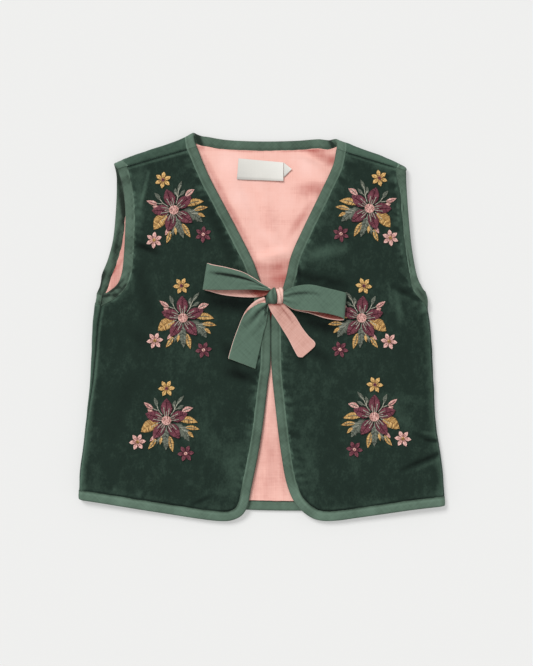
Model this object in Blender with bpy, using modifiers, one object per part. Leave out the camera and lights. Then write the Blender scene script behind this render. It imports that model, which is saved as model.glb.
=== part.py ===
"""A child's padded velvet waistcoat, laid flat with its front up and its fronts tied in a bow.

Sizes are in millimetres and become metres where a mesh is made. +X is the viewer's right, +Y
runs from the hem to the neck, and +Z points up from the surface that the back lies on.
A panel's cut is drawn flat. The back's cut runs past the side and shoulder folds, and
back_surface() rolls that part up and over to the seams on top.
"""

import math

import bmesh
import bpy
import numpy as np
from mathutils import Vector
from mathutils.bvhtree import BVHTree
from mathutils.geometry import delaunay_2d_cdt

MM = 0.001
SEAM_GAP = 0.3

# Cloth
PANEL_WALL = 3.5  # velvet, wadding and lining quilted together
PUFFED_WALL = 4.5  # the same at the middle of a front
PRESSED_WALL = 1.4  # the same inside a binding
LINING_WALL = 1.0
LINING_GAP = 0.45
LINING_INSET = 2.4  # the lining's side edge, in from the fold's centre line
RIBBON_WALL = 1.0
LABEL_WALL = 0.6
FOLD_RADIUS = 4.6  # outer radius where the back rolls up to meet the fronts
FRONT_TOP = 2 * FOLD_RADIUS
FRONT_PUFF = 2.0
HEM_DROOP = 2.4  # a front's hem, where it hangs past the back's

# Bias binding, a folded strip round each raw edge
BINDING_WIDTH = 9.5
BINDING_HEIGHT = 4.0
BINDING_WALL = 1.0
BINDING_TURN_STEPS = 4
SLANT = 1.25
RAW_EDGE_INSET = 2.4  # the panel's cut edge inside the binding's fold
PRESSED_SINK = BINDING_WALL + SEAM_GAP
PRESSED_TO = 10.3  # the panel is pressed flat this far in from the binding's fold
PUFFED_FROM = 16.0
SEAM_DITCH = 0.6
SEAM_DITCH_WIDTH = 5.0

# Mesh fineness
EDGE_SPREAD = 24.0
EDGE_BEND = math.radians(26)
FRONT_LATTICE = 15.0
BACK_LATTICE = 27.0
LINING_LATTICE = 30.0
FOLD_STEPS = 4
ROW_LEAST = 1.7
SIDE_STATIONS = (-135, -118, -105, -92, -81, -70, -59, -48, -36, -24, -8)
SHARP_ANGLE = math.radians(50)

# Outlines, as (x, y) down the middle of each curve, in the order that goes clockwise round a panel
SIDE_OUTLINE = (  # y, left x, right x
    (-200, -176.5, 176.5),
    (-166, -174.0, 174.0),
    (-140, -173.0, 172.3),
    (-112, -169.6, 168.8),
    (-101, -168.4, 166.6),
    (-51, -163.0, 163.3),
    (-6, -161.0, 160.9),
    (10, -159.7, 158.9),
    (23, -158.3, 157.2),
    (33, -157.2, 156.0),
    (45, -156.6, 155.6),
    (60, -160.0, 160.0),
    (100, -190.0, 190.0),
)
SIDE_SEAM_INSET = (  # y, from the left outline, from the right outline
    (-200, 0.6, 0.6),
    (-105, 0.7, 0.6),
    (-75, 1.3, 0.6),
    (-50, 2.8, 0.6),
    (-25, 4.4, 0.6),
    (6, 5.6, 0.6),
    (18, 6.5, 0.6),
    (40, 6.5, 0.6),
)
LEFT_SHOULDER_SLOPE = math.radians(20.5)
LEFT_SHOULDER = (
    (-158, 148.0),
    (-139.5, 155.6),
    (-116, 164.4),
    (-89, 173.4),
    (-75, 178.6),
    (-65, 184.2),
    (-50, 192.0),
)
RIGHT_SHOULDER_SLOPE = math.radians(-23.0)
RIGHT_SHOULDER = (
    (50, 187.4),
    (70.5, 178.4),
    (79.5, 174.6),
    (98.5, 167.3),
    (114.5, 161.9),
    (127.5, 156.2),
    (135.5, 151.7),
    (152, 143.0),
)
LEFT_SHOULDER_SEAM = ((-136.5, 149.0), (-61.5, 170.3))
RIGHT_SHOULDER_SEAM = ((70.8, 168.0), (137.0, 147.5))
LEFT_UNDERARM_Y = 30.0
RIGHT_UNDERARM_Y = 33.0
LEFT_HEM_Y = -164.5
RIGHT_HEM_Y = -170.5
LEFT_FRONT_EDGE = (  # V, front edge, rounded corner and hem
    LEFT_SHOULDER_SEAM[1],
    (-50.5, 144.0),
    (-24.0, 93.5),
    (-8.0, 61.5),
    (1.0, 32.5),
    (5.8, 3.0),
    (7.2, -24.0),
    (5.5, -53.0),
    (-1.0, -108.5),
    (-10.5, -157.0),
    (-13.5, -171.0),
    (-19.0, -179.5),
    (-28.0, -184.0),
    (-39.0, -184.9),
    (-96.0, -177.0),
    (-153.5, -167.6),
)
RIGHT_FRONT_EDGE = (  # hem, rounded corner, front edge and V
    (144.5, -174.0),
    (94.0, -181.3),
    (69.0, -184.6),
    (56.0, -184.4),
    (46.5, -181.2),
    (33.0, -169.5),
    (24.5, -152.0),
    (18.0, -118.0),
    (12.5, -70.5),
    (9.1, -30.0),
    (10.6, -9.0),
    (18.5, 23.0),
    (22.5, 45.5),
    (27.8, 67.0),
    (39.5, 93.5),
    (55.5, 126.5),
    (67.8, 153.5),
    RIGHT_SHOULDER_SEAM[0],
)
LEFT_FRONT_ARMHOLE = (
    (-145.0, 33.2),
    (-137.0, 40.0),
    (-133.0, 49.5),
    (-130.6, 70.0),
    (-129.4, 110.0),
    (-132.0, 133.0),
    LEFT_SHOULDER_SEAM[0],
)
RIGHT_FRONT_ARMHOLE = (
    RIGHT_SHOULDER_SEAM[1],
    (137.2, 136.0),
    (139.6, 101.0),
    (142.5, 73.5),
    (147.0, 49.0),
    (149.6, 41.8),
    (152.8, 36.8),
)
LEFT_BACK_ARMHOLE = (
    (-151.8, 50.0),
    (-146.5, 63.0),
    (-141.5, 82.0),
    (-138.8, 108.0),
    (-137.8, 132.0),
    (-138.4, 146.0),
)
RIGHT_BACK_ARMHOLE = (
    (134.6, 140.0),
    (135.2, 118.0),
    (137.5, 86.0),
    (142.0, 60.0),
    (147.6, 43.6),
)
BACK_NECK = (
    (-60.0, 182.2),
    (-50.0, 180.0),
    (-34.5, 177.4),
    (-12.0, 176.1),
    (12.0, 175.9),
    (35.0, 176.6),
    (54.0, 178.0),
    (64.5, 177.6),
)
BACK_HEM = (
    (150.0, -173.2),
    (80.0, -175.0),
    (0.0, -174.8),
    (-80.0, -170.8),
    (-150.0, -165.9),
)

# Folds pressed into the fronts: from x, y, to x, y, half-width, depth (a ridge is negative)
FRONT_CREASES = (
    (-120, 79, -90, 67, 7.0, 1.2),
    (-66, -160, -40, -149, 8.0, 1.0),
    (134, -136, 160, -124, 6.0, 1.3),
    (118, 42, 146, 28, 6.0, 1.1),
    (36, 60, 78, 41, 9.0, 1.2),
    (-40, -20, -52, -90, 16.0, 0.8),
    (70, -30, 62, -120, 16.0, 0.8),
    (-118, -10, -128, -90, 14.0, -0.7),
    (128, 10, 134, -70, 14.0, -0.7),
    (-100, 148, -60, 120, 12.0, -0.7),
    (88, 146, 110, 128, 12.0, -0.7),
)

# Ribbon bow. Each row: one edge x, y, the other edge x, y, lift of the middle over the fronts, crease
LEFT_LOOP = (
    (3.2, 27.6, 3.2, 33.2, 4.2, 0.0),
    (-6.0, 27.4, -4.5, 43.4, 2.8, 0.5),
    (-22.0, 27.9, -17.5, 52.2, 1.6, 0.5),
    (-38.0, 30.0, -33.5, 56.6, 1.2, 0.0),
    (-50.5, 33.4, -46.5, 59.0, 1.4, 0.0),
    (-54.2, 34.4, -50.3, 59.6, 2.3, 0.0),
    (-55.4, 34.6, -51.4, 59.7, 3.8, 0.0),
    (-54.2, 34.6, -50.3, 59.5, 5.3, 0.0),
    (-50.5, 34.4, -46.5, 58.4, 6.2, 0.4),
    (-37.5, 34.2, -33.5, 55.8, 7.0, 1.2),
    (-22.0, 34.4, -17.5, 51.2, 7.6, 2.2),
    (-7.5, 34.8, -5.5, 44.6, 8.0, 1.6),
    (3.2, 33.0, 3.2, 37.4, 8.2, 0.0),
)
RIGHT_LOOP = (
    (21.8, 22.4, 21.8, 31.6, 4.2, 0.0),
    (30.0, 17.2, 31.0, 37.0, 3.0, 0.0),
    (45.5, 12.2, 45.5, 38.8, 2.2, 0.0),
    (60.0, 7.6, 60.5, 35.8, 3.0, 0.0),
    (73.5, 5.6, 75.5, 32.4, 3.6, 0.0),
    (76.6, 5.8, 78.7, 32.0, 4.3, 0.0),
    (77.6, 6.0, 79.7, 31.8, 5.6, 0.0),
    (76.6, 6.6, 78.7, 31.9, 6.9, 0.0),
    (73.5, 7.8, 75.5, 32.8, 7.6, 0.0),
    (60.0, 11.4, 60.5, 36.4, 8.2, 0.0),
    (45.5, 13.8, 45.5, 39.4, 8.6, 0.6),
    (30.0, 17.6, 31.0, 37.6, 8.6, 0.8),
    (21.8, 22.0, 21.8, 33.2, 8.2, 0.0),
)
LEFT_TAIL = (
    (2.2, 28.2, 6.8, 19.6, 2.6, 0.0),
    (-6.0, 24.2, 6.2, 16.4, 2.0, -0.8),
    (-14.0, 16.4, 5.6, 12.0, 1.6, -0.8),
    (-18.8, 7.6, 4.4, 2.6, 1.2, -0.5),
    (-23.0, -3.0, 1.8, -6.0, 1.0, 0.0),
    (-27.2, -14.5, -0.8, -18.0, 1.0, 0.0),
    (-31.2, -28.4, -3.8, -31.0, 1.2, 0.0),
    (-31.4, -30.4, -5.8, -40.2, 1.4, 0.0),
)
RIGHT_TAIL = (
    (9.0, 18.9, 18.6, 19.2, 3.4, 0.0),
    (10.2, 13.0, 26.0, 15.6, 2.8, 0.6),
    (13.4, 7.2, 32.4, 8.4, 1.8, 0.4),
    (19.8, -3.0, 38.6, -1.6, 1.2, 0.0),
    (25.4, -12.2, 44.4, -9.0, 1.0, 0.0),
    (31.0, -23.0, 50.4, -15.2, 1.2, 0.0),
    (34.4, -28.6, 50.2, -18.8, 1.4, 0.0),
    (38.4, -29.4, 46.4, -22.6, 1.5, 0.0),
)
LEFT_TIE = (
    (3.4, 24.6, 3.4, 33.4, 0.5, 0.0),
    (-1.5, 23.0, -1.5, 35.6, 0.5, 0.0),
    (-7.0, 23.6, -7.0, 37.0, 0.5, 0.0),
)
RIGHT_TIE = (
    (21.6, 24.6, 21.6, 33.4, 0.5, 0.0),
    (25.5, 23.4, 25.5, 35.6, 0.5, 0.0),
    (30.0, 23.2, 30.0, 37.0, 0.5, 0.0),
)
RIBBON_COLUMNS = 4
RIBBON_CREASE_AT = 0.75
KNOT_CENTRE = (12.5, 29.0)
KNOT_SIZE = (17.6, 17.2, 10.6)
KNOT_LIFT = 0.5

# Neck label and size tag, corners of each
NECK_LABEL = ((-23.5, 139.5), (20.5, 137.9), (20.6, 155.6), (-22.0, 159.5))
SIZE_TAG = ((20.9, 141.4), (28.6, 149.2), (21.0, 155.4))

# Embroidered sprigs: name, x, y, turn in degrees, side (-1 mirrors the sprig)
SPRIGS = (
    ("left_top", -83.0, 110.0, 20.0, 1),
    ("left_middle", -74.5, 8.0, 2.5, 1),
    ("left_low", -90.0, -89.0, 0.0, 1),
    ("right_top", 102.0, 111.5, -18.0, -1),
    ("right_middle", 94.5, 8.0, -4.0, -1),
    ("right_low", 106.5, -85.5, -1.0, -1),
)
FLOWER_TIP = 20.5
FLOWER_SHOULDER = 15.0
FLOWER_NOTCH = 8.5
BLOSSOM_TIP = 7.7
BLOSSOM_NOTCH = 3.4
BLOSSOMS = (  # colour name, offset x, y from the sprig's middle
    ("mustard", 0.0, 30.3),
    ("pink", -27.4, -20.3),
    ("burgundy", 18.2, -31.2),
)
SPRAY_LEAVES = (  # direction in degrees, reach, half-width in degrees
    (204, 27.7, 17),
    (234, 31.0, 10),
    (255, 23.0, 9),
    (269, 28.0, 12),
    (283, 30.0, 10),
    (320, 29.5, 17),
    (340, 30.0, 9),
    (357, 29.5, 14),
    (26, 27.0, 9),
    (55, 28.0, 12),
    (119, 24.0, 12),
    (140, 27.0, 9),
)
SPRAY_NOTCH = 10.0
SPRAY_POINTS = 44
SPRAY_LIFT, SPRAY_WALL = 0.6, 0.6
FLOWER_LIFT, FLOWER_WALL = 1.55, 0.8
BLOSSOM_LIFT, BLOSSOM_WALL = 0.45, 0.8

COLOURS = {
    "velvet": (42, 64, 55),
    "binding": (85, 118, 100),
    "lining": (246, 192, 176),
    "burgundy": (110, 45, 65),
    "mustard": (205, 160, 75),
    "pink": (225, 150, 150),
    "leaf": (118, 124, 100),
    "label": (215, 212, 205),
}


def clear_scene():
    for item in list(bpy.data.objects):
        bpy.data.objects.remove(item, do_unlink=True)


def linear(channel):
    """An sRGB channel of 0 to 255 as a linear value."""
    value = channel / 255
    return value / 12.92 if value <= 0.04045 else ((value + 0.055) / 1.055) ** 2.4


def material(name, colour):
    made = bpy.data.materials.new(name)
    made.use_nodes = True
    shader = made.node_tree.nodes["Principled BSDF"]
    shader.inputs["Base Color"].default_value = (*map(linear, COLOURS[colour]), 1)
    shader.inputs["Roughness"].default_value = 0.9
    shader.inputs["Metallic"].default_value = 0.0
    return made


# Curves in the plane


def curve(points):
    """A smooth curve through the points, finely sampled."""
    points = np.asarray(points, float)
    chords = np.linalg.norm(np.diff(points, axis=0), axis=1)
    at = np.concatenate([[0], np.cumsum(np.sqrt(chords))])
    slopes = np.gradient(points, at, axis=0)
    samples = []
    for i in range(len(points) - 1):
        span = at[i + 1] - at[i]
        t = np.linspace(0, 1, 16, endpoint=False)[:, None]
        samples.append(
            (2 * t**3 - 3 * t**2 + 1) * points[i]
            + (t**3 - 2 * t**2 + t) * span * slopes[i]
            + (3 * t**2 - 2 * t**3) * points[i + 1]
            + (t**3 - t**2) * span * slopes[i + 1]
        )
    return np.concatenate([*samples, points[-1:]])


def column(table, value, index):
    """Column `index` of a table, smoothed, at each value of the table's first column."""
    rows = np.array([(row[0], row[index]) for row in table], float)
    fine = curve(rows)
    return np.interp(value, fine[:, 0], fine[:, 1])


def turning(path):
    """The angle turned at each sample of a path in space, spread over its two stretches."""
    steps = np.diff(path, axis=0)
    steps /= np.maximum(np.linalg.norm(steps, axis=1, keepdims=True), 1e-9)
    bend = np.arccos(np.clip((steps[:-1] * steps[1:]).sum(axis=1), -1, 1))
    return (np.concatenate([[0], bend]) + np.concatenate([bend, [0]])) / 2


def stations(points, surface, spread=EDGE_SPREAD, bend=EDGE_BEND):
    """Points along a curve, closer together where its place on the surface bends."""
    fine = curve(points)
    path, normals = surface(fine)
    length = np.linalg.norm(np.diff(path, axis=0), axis=1)
    rolling = np.arccos(np.clip((normals[:-1] * normals[1:]).sum(axis=1), -1, 1))
    turns = np.maximum(turning(path), rolling)
    at = np.concatenate([[0], np.cumsum(length / spread + turns / bend)])
    even = np.linspace(0, at[-1], math.ceil(at[-1]) + 1)
    return np.stack([np.interp(even, at, fine[:, i]) for i in (0, 1)], axis=1)


def distance_to(points, path):
    """How far each point is from a path of straight stretches."""
    start, step = path[:-1], np.diff(path, axis=0)
    away = points[:, None] - start[None]
    share = (away * step).sum(-1) / np.maximum((step**2).sum(-1), 1e-9)
    nearest = start[None] + np.clip(share, 0, 1)[..., None] * step[None]
    return np.linalg.norm(points[:, None] - nearest, axis=-1).min(axis=1)


def inside(points, outline):
    """Which points lie inside a closed outline."""
    result = np.zeros(len(points), bool)
    for (x0, y0), (x1, y1) in zip(outline, np.roll(outline, -1, axis=0)):
        if y0 == y1:
            continue
        crosses = (y0 > points[:, 1]) != (y1 > points[:, 1])
        result ^= crosses & (
            points[:, 0] < x0 + (points[:, 1] - y0) * (x1 - x0) / (y1 - y0)
        )
    return result


def ramp(value, low, high):
    """0 below low, 1 above high and smooth between."""
    t = np.clip((value - low) / (high - low), 0, 1)
    return t * t * (3 - 2 * t)


# Surfaces that the panels lie on


def shoulder_frame(side):
    slope = LEFT_SHOULDER_SLOPE if side < 0 else RIGHT_SHOULDER_SLOPE
    along = np.array([math.cos(slope), math.sin(slope)])
    over = np.array([-math.sin(slope), math.cos(slope)])
    line = curve(LEFT_SHOULDER if side < 0 else RIGHT_SHOULDER)
    return along, over, line


def past_fold(points):
    """For each point of the flat cut: how far it lies past its fold's centre line, and the way over it."""
    points = np.asarray(points, float)
    beyond = np.empty(len(points))
    over = np.empty((len(points), 2))
    for side, index in ((-1, 1), (1, 2)):
        here = (points[:, 0] * side > 0) | ((side == 1) & (points[:, 0] == 0))
        low = here & (points[:, 1] < 100)
        edge = side * column(SIDE_OUTLINE, points[low, 1], index)
        beyond[low] = points[low, 0] * side - edge + FOLD_RADIUS
        over[low] = (side, 0)
        high = here & (points[:, 1] >= 100)
        along, way, line = shoulder_frame(side)
        crest = np.interp(points[high] @ along, line @ along, line @ way)
        beyond[high] = points[high] @ way - crest + FOLD_RADIUS
        over[high] = way
    return beyond, over


def rolled(points, turned_up):
    """Points of a flat cut rolled over their folds, with outward normals. The cut starts on top
    and rolls down, or starts underneath and is turned up."""
    points = np.asarray(points, float)
    beyond, over = past_fold(points)
    angle = np.clip(beyond / FOLD_RADIUS, 0, math.pi)
    reach = np.where(beyond <= 0, beyond, FOLD_RADIUS * np.sin(angle))
    reach -= np.maximum(beyond - math.pi * FOLD_RADIUS, 0)
    plan = points + over * (reach - beyond)[:, None]
    up = -1 if turned_up else 1
    height = FOLD_RADIUS * (1 + up * np.cos(angle))
    normals = np.column_stack([over * np.sin(angle)[:, None], up * np.cos(angle)])
    return np.column_stack([plan, height]), normals


def back_surface(points):
    return rolled(points, turned_up=True)


def front_surface(points):
    """The fronts' top. Where a front hangs past the back's hem, it droops to what it lies on."""
    placed, normals = rolled(points, turned_up=False)
    hem = curve(BACK_HEM[::-1])
    past_hem = np.interp(placed[:, 0], hem[:, 0], hem[:, 1]) - placed[:, 1]
    droop = HEM_DROOP * ramp(past_hem, -8, 15) * (1 - ramp(np.abs(placed[:, 0]), 80, 152))
    placed[:, 2] -= droop
    return placed, normals


def unfold(point):
    """The place on the back's flat cut of a point (x, y) seen on top, past the fold."""
    point = np.asarray([point], float)
    beyond, over = past_fold(point)
    top_half = np.arccos(np.clip(beyond / FOLD_RADIUS, 0, 1)) * FOLD_RADIUS
    arc = np.where(beyond > 0, FOLD_RADIUS * math.pi / 2 + top_half, FOLD_RADIUS * math.pi - beyond)
    return tuple((point + over * (arc - beyond)[:, None])[0])


def side_seam(side, y, on_back):
    """The side seam's place on the flat cut of a front or the back, at a height up the side."""
    index = 1 if side < 0 else 2
    edge = side * float(column(SIDE_OUTLINE, y, index))
    inset = float(column(SIDE_SEAM_INSET, y, index))
    centre = edge - FOLD_RADIUS
    if inset >= FOLD_RADIUS:
        past = FOLD_RADIUS - inset
    else:
        past = FOLD_RADIUS * math.asin((FOLD_RADIUS - inset) / FOLD_RADIUS)
    if on_back:
        past = math.pi * FOLD_RADIUS - past - SEAM_GAP
    return side * (centre + past), y


# Bound edges


def band(points, surface, start, end):
    """A bound edge: places along its fold, with the way from each into the panel on the right.
    start and end give that way at a seam. Where a seam meets it at a slant, a place more shares
    out the turn."""
    edge = stations(points, surface)
    fine = np.gradient(edge, axis=0)
    fine /= np.linalg.norm(fine, axis=1, keepdims=True)
    inward = np.column_stack([fine[:, 1], -fine[:, 0]])
    for index, beside, way in ((0, 1, start), (-1, -2, end)):
        way = np.asarray(way, float) / np.linalg.norm(way)
        lean = 1 / max(way @ inward[index], 0.5)
        inward[index] = way * lean
        if lean > SLANT:
            place = len(edge) - 1 if index else 1
            middle = [(grid[index] + grid[beside]) / 2 for grid in (edge, inward)]
            edge = np.insert(edge, place, middle[0], axis=0)
            inward = np.insert(inward, place, middle[1], axis=0)
    return edge, inward


def inset(edge_band, distance):
    edge, inward = edge_band
    return edge + inward * distance


def seam_way(seam, flip=False):
    way = np.subtract(seam[1], seam[0])
    return -way if flip else way


def side_seam_way(side, y, on_back, rise):
    """The way along the side seam from a height up the side, over a binding's width."""
    return np.subtract(side_seam(side, y + rise, on_back), side_seam(side, y, on_back))


def back_seam(seam):
    """A shoulder seam on the back's flat cut, moved clear of the front."""
    _, over = past_fold(seam)
    points = straight(*seam, BINDING_WIDTH) + over[0] * SEAM_GAP
    return np.array([unfold(point) for point in points])


def front_bands(side):
    """A front's two bound edges: from the shoulder to the hem's end, and its armhole."""
    if side < 0:
        edge = band(
            (*LEFT_FRONT_EDGE, side_seam(-1, LEFT_HEM_Y, False)),
            front_surface,
            seam_way(LEFT_SHOULDER_SEAM, flip=True),
            side_seam_way(-1, LEFT_HEM_Y, False, BINDING_WIDTH),
        )
        armhole = band(
            (side_seam(-1, LEFT_UNDERARM_Y, False), *LEFT_FRONT_ARMHOLE),
            front_surface,
            side_seam_way(-1, LEFT_UNDERARM_Y, False, -BINDING_WIDTH),
            seam_way(LEFT_SHOULDER_SEAM),
        )
        return edge, armhole
    edge = band(
        (side_seam(1, RIGHT_HEM_Y, False), *RIGHT_FRONT_EDGE),
        front_surface,
        side_seam_way(1, RIGHT_HEM_Y, False, BINDING_WIDTH),
        seam_way(RIGHT_SHOULDER_SEAM),
    )
    armhole = band(
        (*RIGHT_FRONT_ARMHOLE, side_seam(1, RIGHT_UNDERARM_Y, False)),
        front_surface,
        seam_way(RIGHT_SHOULDER_SEAM, flip=True),
        side_seam_way(1, RIGHT_UNDERARM_Y, False, -BINDING_WIDTH),
    )
    return edge, armhole


def back_bands():
    """The back's bound edges: left armhole, neck, right armhole and hem."""
    left_seam, right_seam = back_seam(LEFT_SHOULDER_SEAM), back_seam(RIGHT_SHOULDER_SEAM)
    left_armhole = band(
        (
            side_seam(-1, LEFT_UNDERARM_Y, True),
            (-161.2, 30.9),
            (-155.6, 36.8),
            *LEFT_BACK_ARMHOLE,
            unfold((-139.2, 152.4)),
            left_seam[0],
        ),
        back_surface,
        side_seam_way(-1, LEFT_UNDERARM_Y, True, -BINDING_WIDTH),
        left_seam[1] - left_seam[0],
    )
    neck = band(
        (
            left_seam[-1],
            unfold((-63.8, 177.0)),
            *BACK_NECK,
            unfold((71.2, 173.4)),
            right_seam[0],
        ),
        back_surface,
        left_seam[-2] - left_seam[-1],
        right_seam[1] - right_seam[0],
    )
    right_armhole = band(
        (
            right_seam[-1],
            *RIGHT_BACK_ARMHOLE,
            (153.4, 36.2),
            side_seam(1, RIGHT_UNDERARM_Y, True),
        ),
        back_surface,
        right_seam[-2] - right_seam[-1],
        side_seam_way(1, RIGHT_UNDERARM_Y, True, -BINDING_WIDTH),
    )
    hem = band(
        (
            side_seam(1, RIGHT_HEM_Y, True),
            *BACK_HEM,
            side_seam(-1, LEFT_HEM_Y, True),
        ),
        back_surface,
        side_seam_way(1, RIGHT_HEM_Y, True, BINDING_WIDTH),
        side_seam_way(-1, LEFT_HEM_Y, True, BINDING_WIDTH),
    )
    return left_armhole, neck, right_armhole, hem


# Panels


def run_on(edge_band):
    """A bound edge run on straight past both of its seams, to measure from."""
    edge = edge_band[0]
    ends = []
    for end, near in ((edge[0], edge[1]), (edge[-1], edge[-2])):
        ends.append(end + (end - near) / math.dist(end, near) * EDGE_SPREAD)
    return np.array([ends[0], *edge, ends[1]])


def walked(path, distance):
    """The place a distance along a path."""
    at = np.concatenate([[0], np.cumsum(np.linalg.norm(np.diff(path, axis=0), axis=1))])
    return np.array([np.interp(distance, at, path[:, i]) for i in (0, 1)])


def run_in(edge_band, index, seam):
    """Places along a seam from a bound edge's end, from the cut edge to the puffed cloth."""
    lean = np.linalg.norm(edge_band[1][index])
    return [walked(seam, away * lean) for away in (RAW_EDGE_INSET, PRESSED_TO, PUFFED_FROM)]


def seam_path(before, middle, after):
    """A seam's edge of a cut, from the end of one bound edge to the start of the next."""
    middle = np.array([before[0][-1], *middle, after[0][0]])
    first = run_in(before, -1, middle)
    last = run_in(after, 0, middle[::-1])[::-1]
    way = last[0] - first[-1]
    share = (middle - first[-1]) @ way / (way @ way)
    return np.array([*first, *middle[(share > 0.03) & (share < 0.97)], *last])


def side_stations(side, on_back):
    """The side seam, clockwise round the cut, at heights that the front and the back share."""
    return [side_seam(side, y, on_back) for y in SIDE_STATIONS][::-side]


def straight(start, end, step):
    count = max(1, round(math.dist(start, end) / step))
    share = np.linspace(0, 1, count + 1)[:, None]
    return np.asarray(start) * (1 - share) + np.asarray(end) * share


def closed_outline(*parts):
    """One closed outline from paths laid end to end, without repeated points."""
    points = []
    for point in np.concatenate(parts):
        if not points or math.dist(point, points[-1]) > 0.6:
            points.append(point)
    if math.dist(points[0], points[-1]) <= 0.6:
        points.pop()
    return np.array(points)


def scattered(outline, rings, rows, fill, bound, least):
    """The points of a panel's mesh, its outline's first, and the pairs of them that an edge joins.
    Rings follow the pressed edges and join the outline. Rows and the looser fill keep off both."""
    closed = np.concatenate([outline, outline[:1]])
    chosen, joined = list(outline), []
    chains = [(ring, ROW_LEAST, 0) for ring in rings]
    chains += [(row, ROW_LEAST, PRESSED_TO + 2) for row in rows]
    for chain, spacing, margin in [*chains, (fill, least, PRESSED_TO + 2)]:
        candidates = np.asarray(chain, float)
        keep = inside(candidates, outline) & (distance_to(candidates, closed) > ROW_LEAST)
        for edge in bound:
            keep &= distance_to(candidates, edge) > margin
        last = None
        for point, kept in zip(candidates, keep):
            away = np.linalg.norm(np.subtract(chosen, point), axis=1)
            if away.min() < ROW_LEAST and not margin:
                here = int(away.argmin())
            elif kept and away.min() > spacing:
                here = len(chosen)
                chosen.append(point)
            else:
                continue
            if last not in (None, here) and chain is not fill:
                joined.append((last, here))
            last = here
    return np.array(chosen), joined


def lattice(outline, step):
    low, high = outline.min(axis=0), outline.max(axis=0)
    rows = []
    for j, y in enumerate(np.arange(low[1] + step / 2, high[1], step * 0.87)):
        shift = step / 2 if j % 2 else 0
        rows += [(x, y) for x in np.arange(low[0] + shift, high[0], step)]
    return rows


def triangulated(points, count, joined=()):
    """Points and faces of a flat cut whose first points are its outline, with an edge between
    each joined pair."""
    edges = [(i, (i + 1) % count) for i in range(count)] + list(joined)
    flat = [Vector(point) for point in points]
    vertices, _, faces, *_ = delaunay_2d_cdt(flat, edges, [], 1, 1e-5)
    return np.array([tuple(v) for v in vertices]), faces


def new_object(name, points, faces, colour):
    mesh = bpy.data.meshes.new(name)
    mesh.from_pydata([tuple(p) for p in np.asarray(points) * MM], [], [tuple(f) for f in faces])
    mesh.update()
    mesh.materials.append(material(name, colour))
    mesh.set_sharp_from_angle(angle=SHARP_ANGLE)
    made = bpy.data.objects.new(name, mesh)
    bpy.data.collections["embroidered_waistcoat"].objects.link(made)
    return made


def face_out(made, normals):
    """Turn an open surface's faces to the side that the normals point to."""
    mesh = made.data
    agree = sum(
        face.normal.dot(Vector(normals[face.vertices[0]])) for face in mesh.polygons
    )
    if agree < 0:
        mesh.flip_normals()


def thicken(made, wall):
    """Give an open surface a wall on its inner side."""
    solidify = made.modifiers.new("wall", "SOLIDIFY")
    solidify.thickness = wall * MM
    solidify.offset = -1
    solidify.use_even_offset = False


def rim_edges(faces):
    """The edges that only one face has, in that face's direction."""
    found = {}
    for face in faces:
        for edge in zip(face, (*face[1:], face[0])):
            key = tuple(sorted(edge))
            found[key] = None if key in found else edge
    return [edge for edge in found.values() if edge]


def panel(name, cut, surface, relief, wall):
    """A quilted panel: a flat cut laid on a surface and raised by its relief, with an inner skin
    set in by its wall. The wall varies, so both skins follow the surface's own normals."""
    flat, faces = cut
    placed, normals = surface(flat)
    outer = placed + normals * relief(flat)[:, None]
    inner = outer - normals * wall(flat)[:, None]
    up = normals[:, 2].mean() > 0
    faces = [face if up else tuple(reversed(face)) for face in map(tuple, faces)]
    count = len(flat)
    skins = faces + [tuple(index + count for index in reversed(face)) for face in faces]
    rim = []
    for a, b in rim_edges(faces):
        # Each quad is split from its lower outer corner, so that two panels' rims match along a seam.
        if placed[a][1] < placed[b][1]:
            rim += [(b, a, b + count), (a, a + count, b + count)]
        else:
            rim += [(b, a, a + count), (b, a + count, b + count)]
    return new_object(name, np.concatenate([outer, inner]), skins + rim, "velvet")


def pressed(points, bound, seams):
    """0 where a binding presses a panel flat, 1 where it is free, and the ditch along its seams."""
    free = np.ones(len(points))
    for edge in bound:
        free = np.minimum(free, ramp(distance_to(points, edge), PRESSED_TO, PUFFED_FROM))
    ditch = np.zeros(len(points))
    for path in seams:
        ditch = np.maximum(ditch, 1 - ramp(distance_to(points, path), 0, SEAM_DITCH_WIDTH))
    return free, ditch * free


def crease_depth(points):
    depth = np.zeros(len(points))
    for x0, y0, x1, y1, half, deep in FRONT_CREASES:
        start, step = np.array([x0, y0]), np.array([x1 - x0, y1 - y0], float)
        share = np.clip((points - start) @ step / (step @ step), 0, 1)
        away = np.linalg.norm(points - start - share[:, None] * step, axis=1)
        fade = 1 - 0.5 * np.abs(2 * share - 1) ** 2
        depth += deep * fade * (1 - ramp(away, 0, half))
    return depth


def crease_points():
    """Places along and beside each crease, so that the mesh can follow it."""
    points = []
    for x0, y0, x1, y1, half, _ in FRONT_CREASES:
        length = math.hypot(x1 - x0, y1 - y0)
        side = np.array([y0 - y1, x1 - x0]) / length * half * 0.8
        for share in np.linspace(0, 1, max(2, round(length / 14)) + 1):
            middle = np.array([x0 + (x1 - x0) * share, y0 + (y1 - y0) * share])
            points += [middle, middle + side, middle - side]
    return points


def front_relief(points, bound, seams):
    free, ditch = pressed(points, bound, seams)
    away = np.full(len(points), 1e3)
    for path in (*bound, *seams):
        away = np.minimum(away, distance_to(points, path))
    body = ramp(away, 8, 38)
    return (
        FRONT_PUFF * body
        - crease_depth(points) * ramp(away, 10, 22)
        - PRESSED_SINK * (1 - free)
        - SEAM_DITCH * ditch
    )


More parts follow.
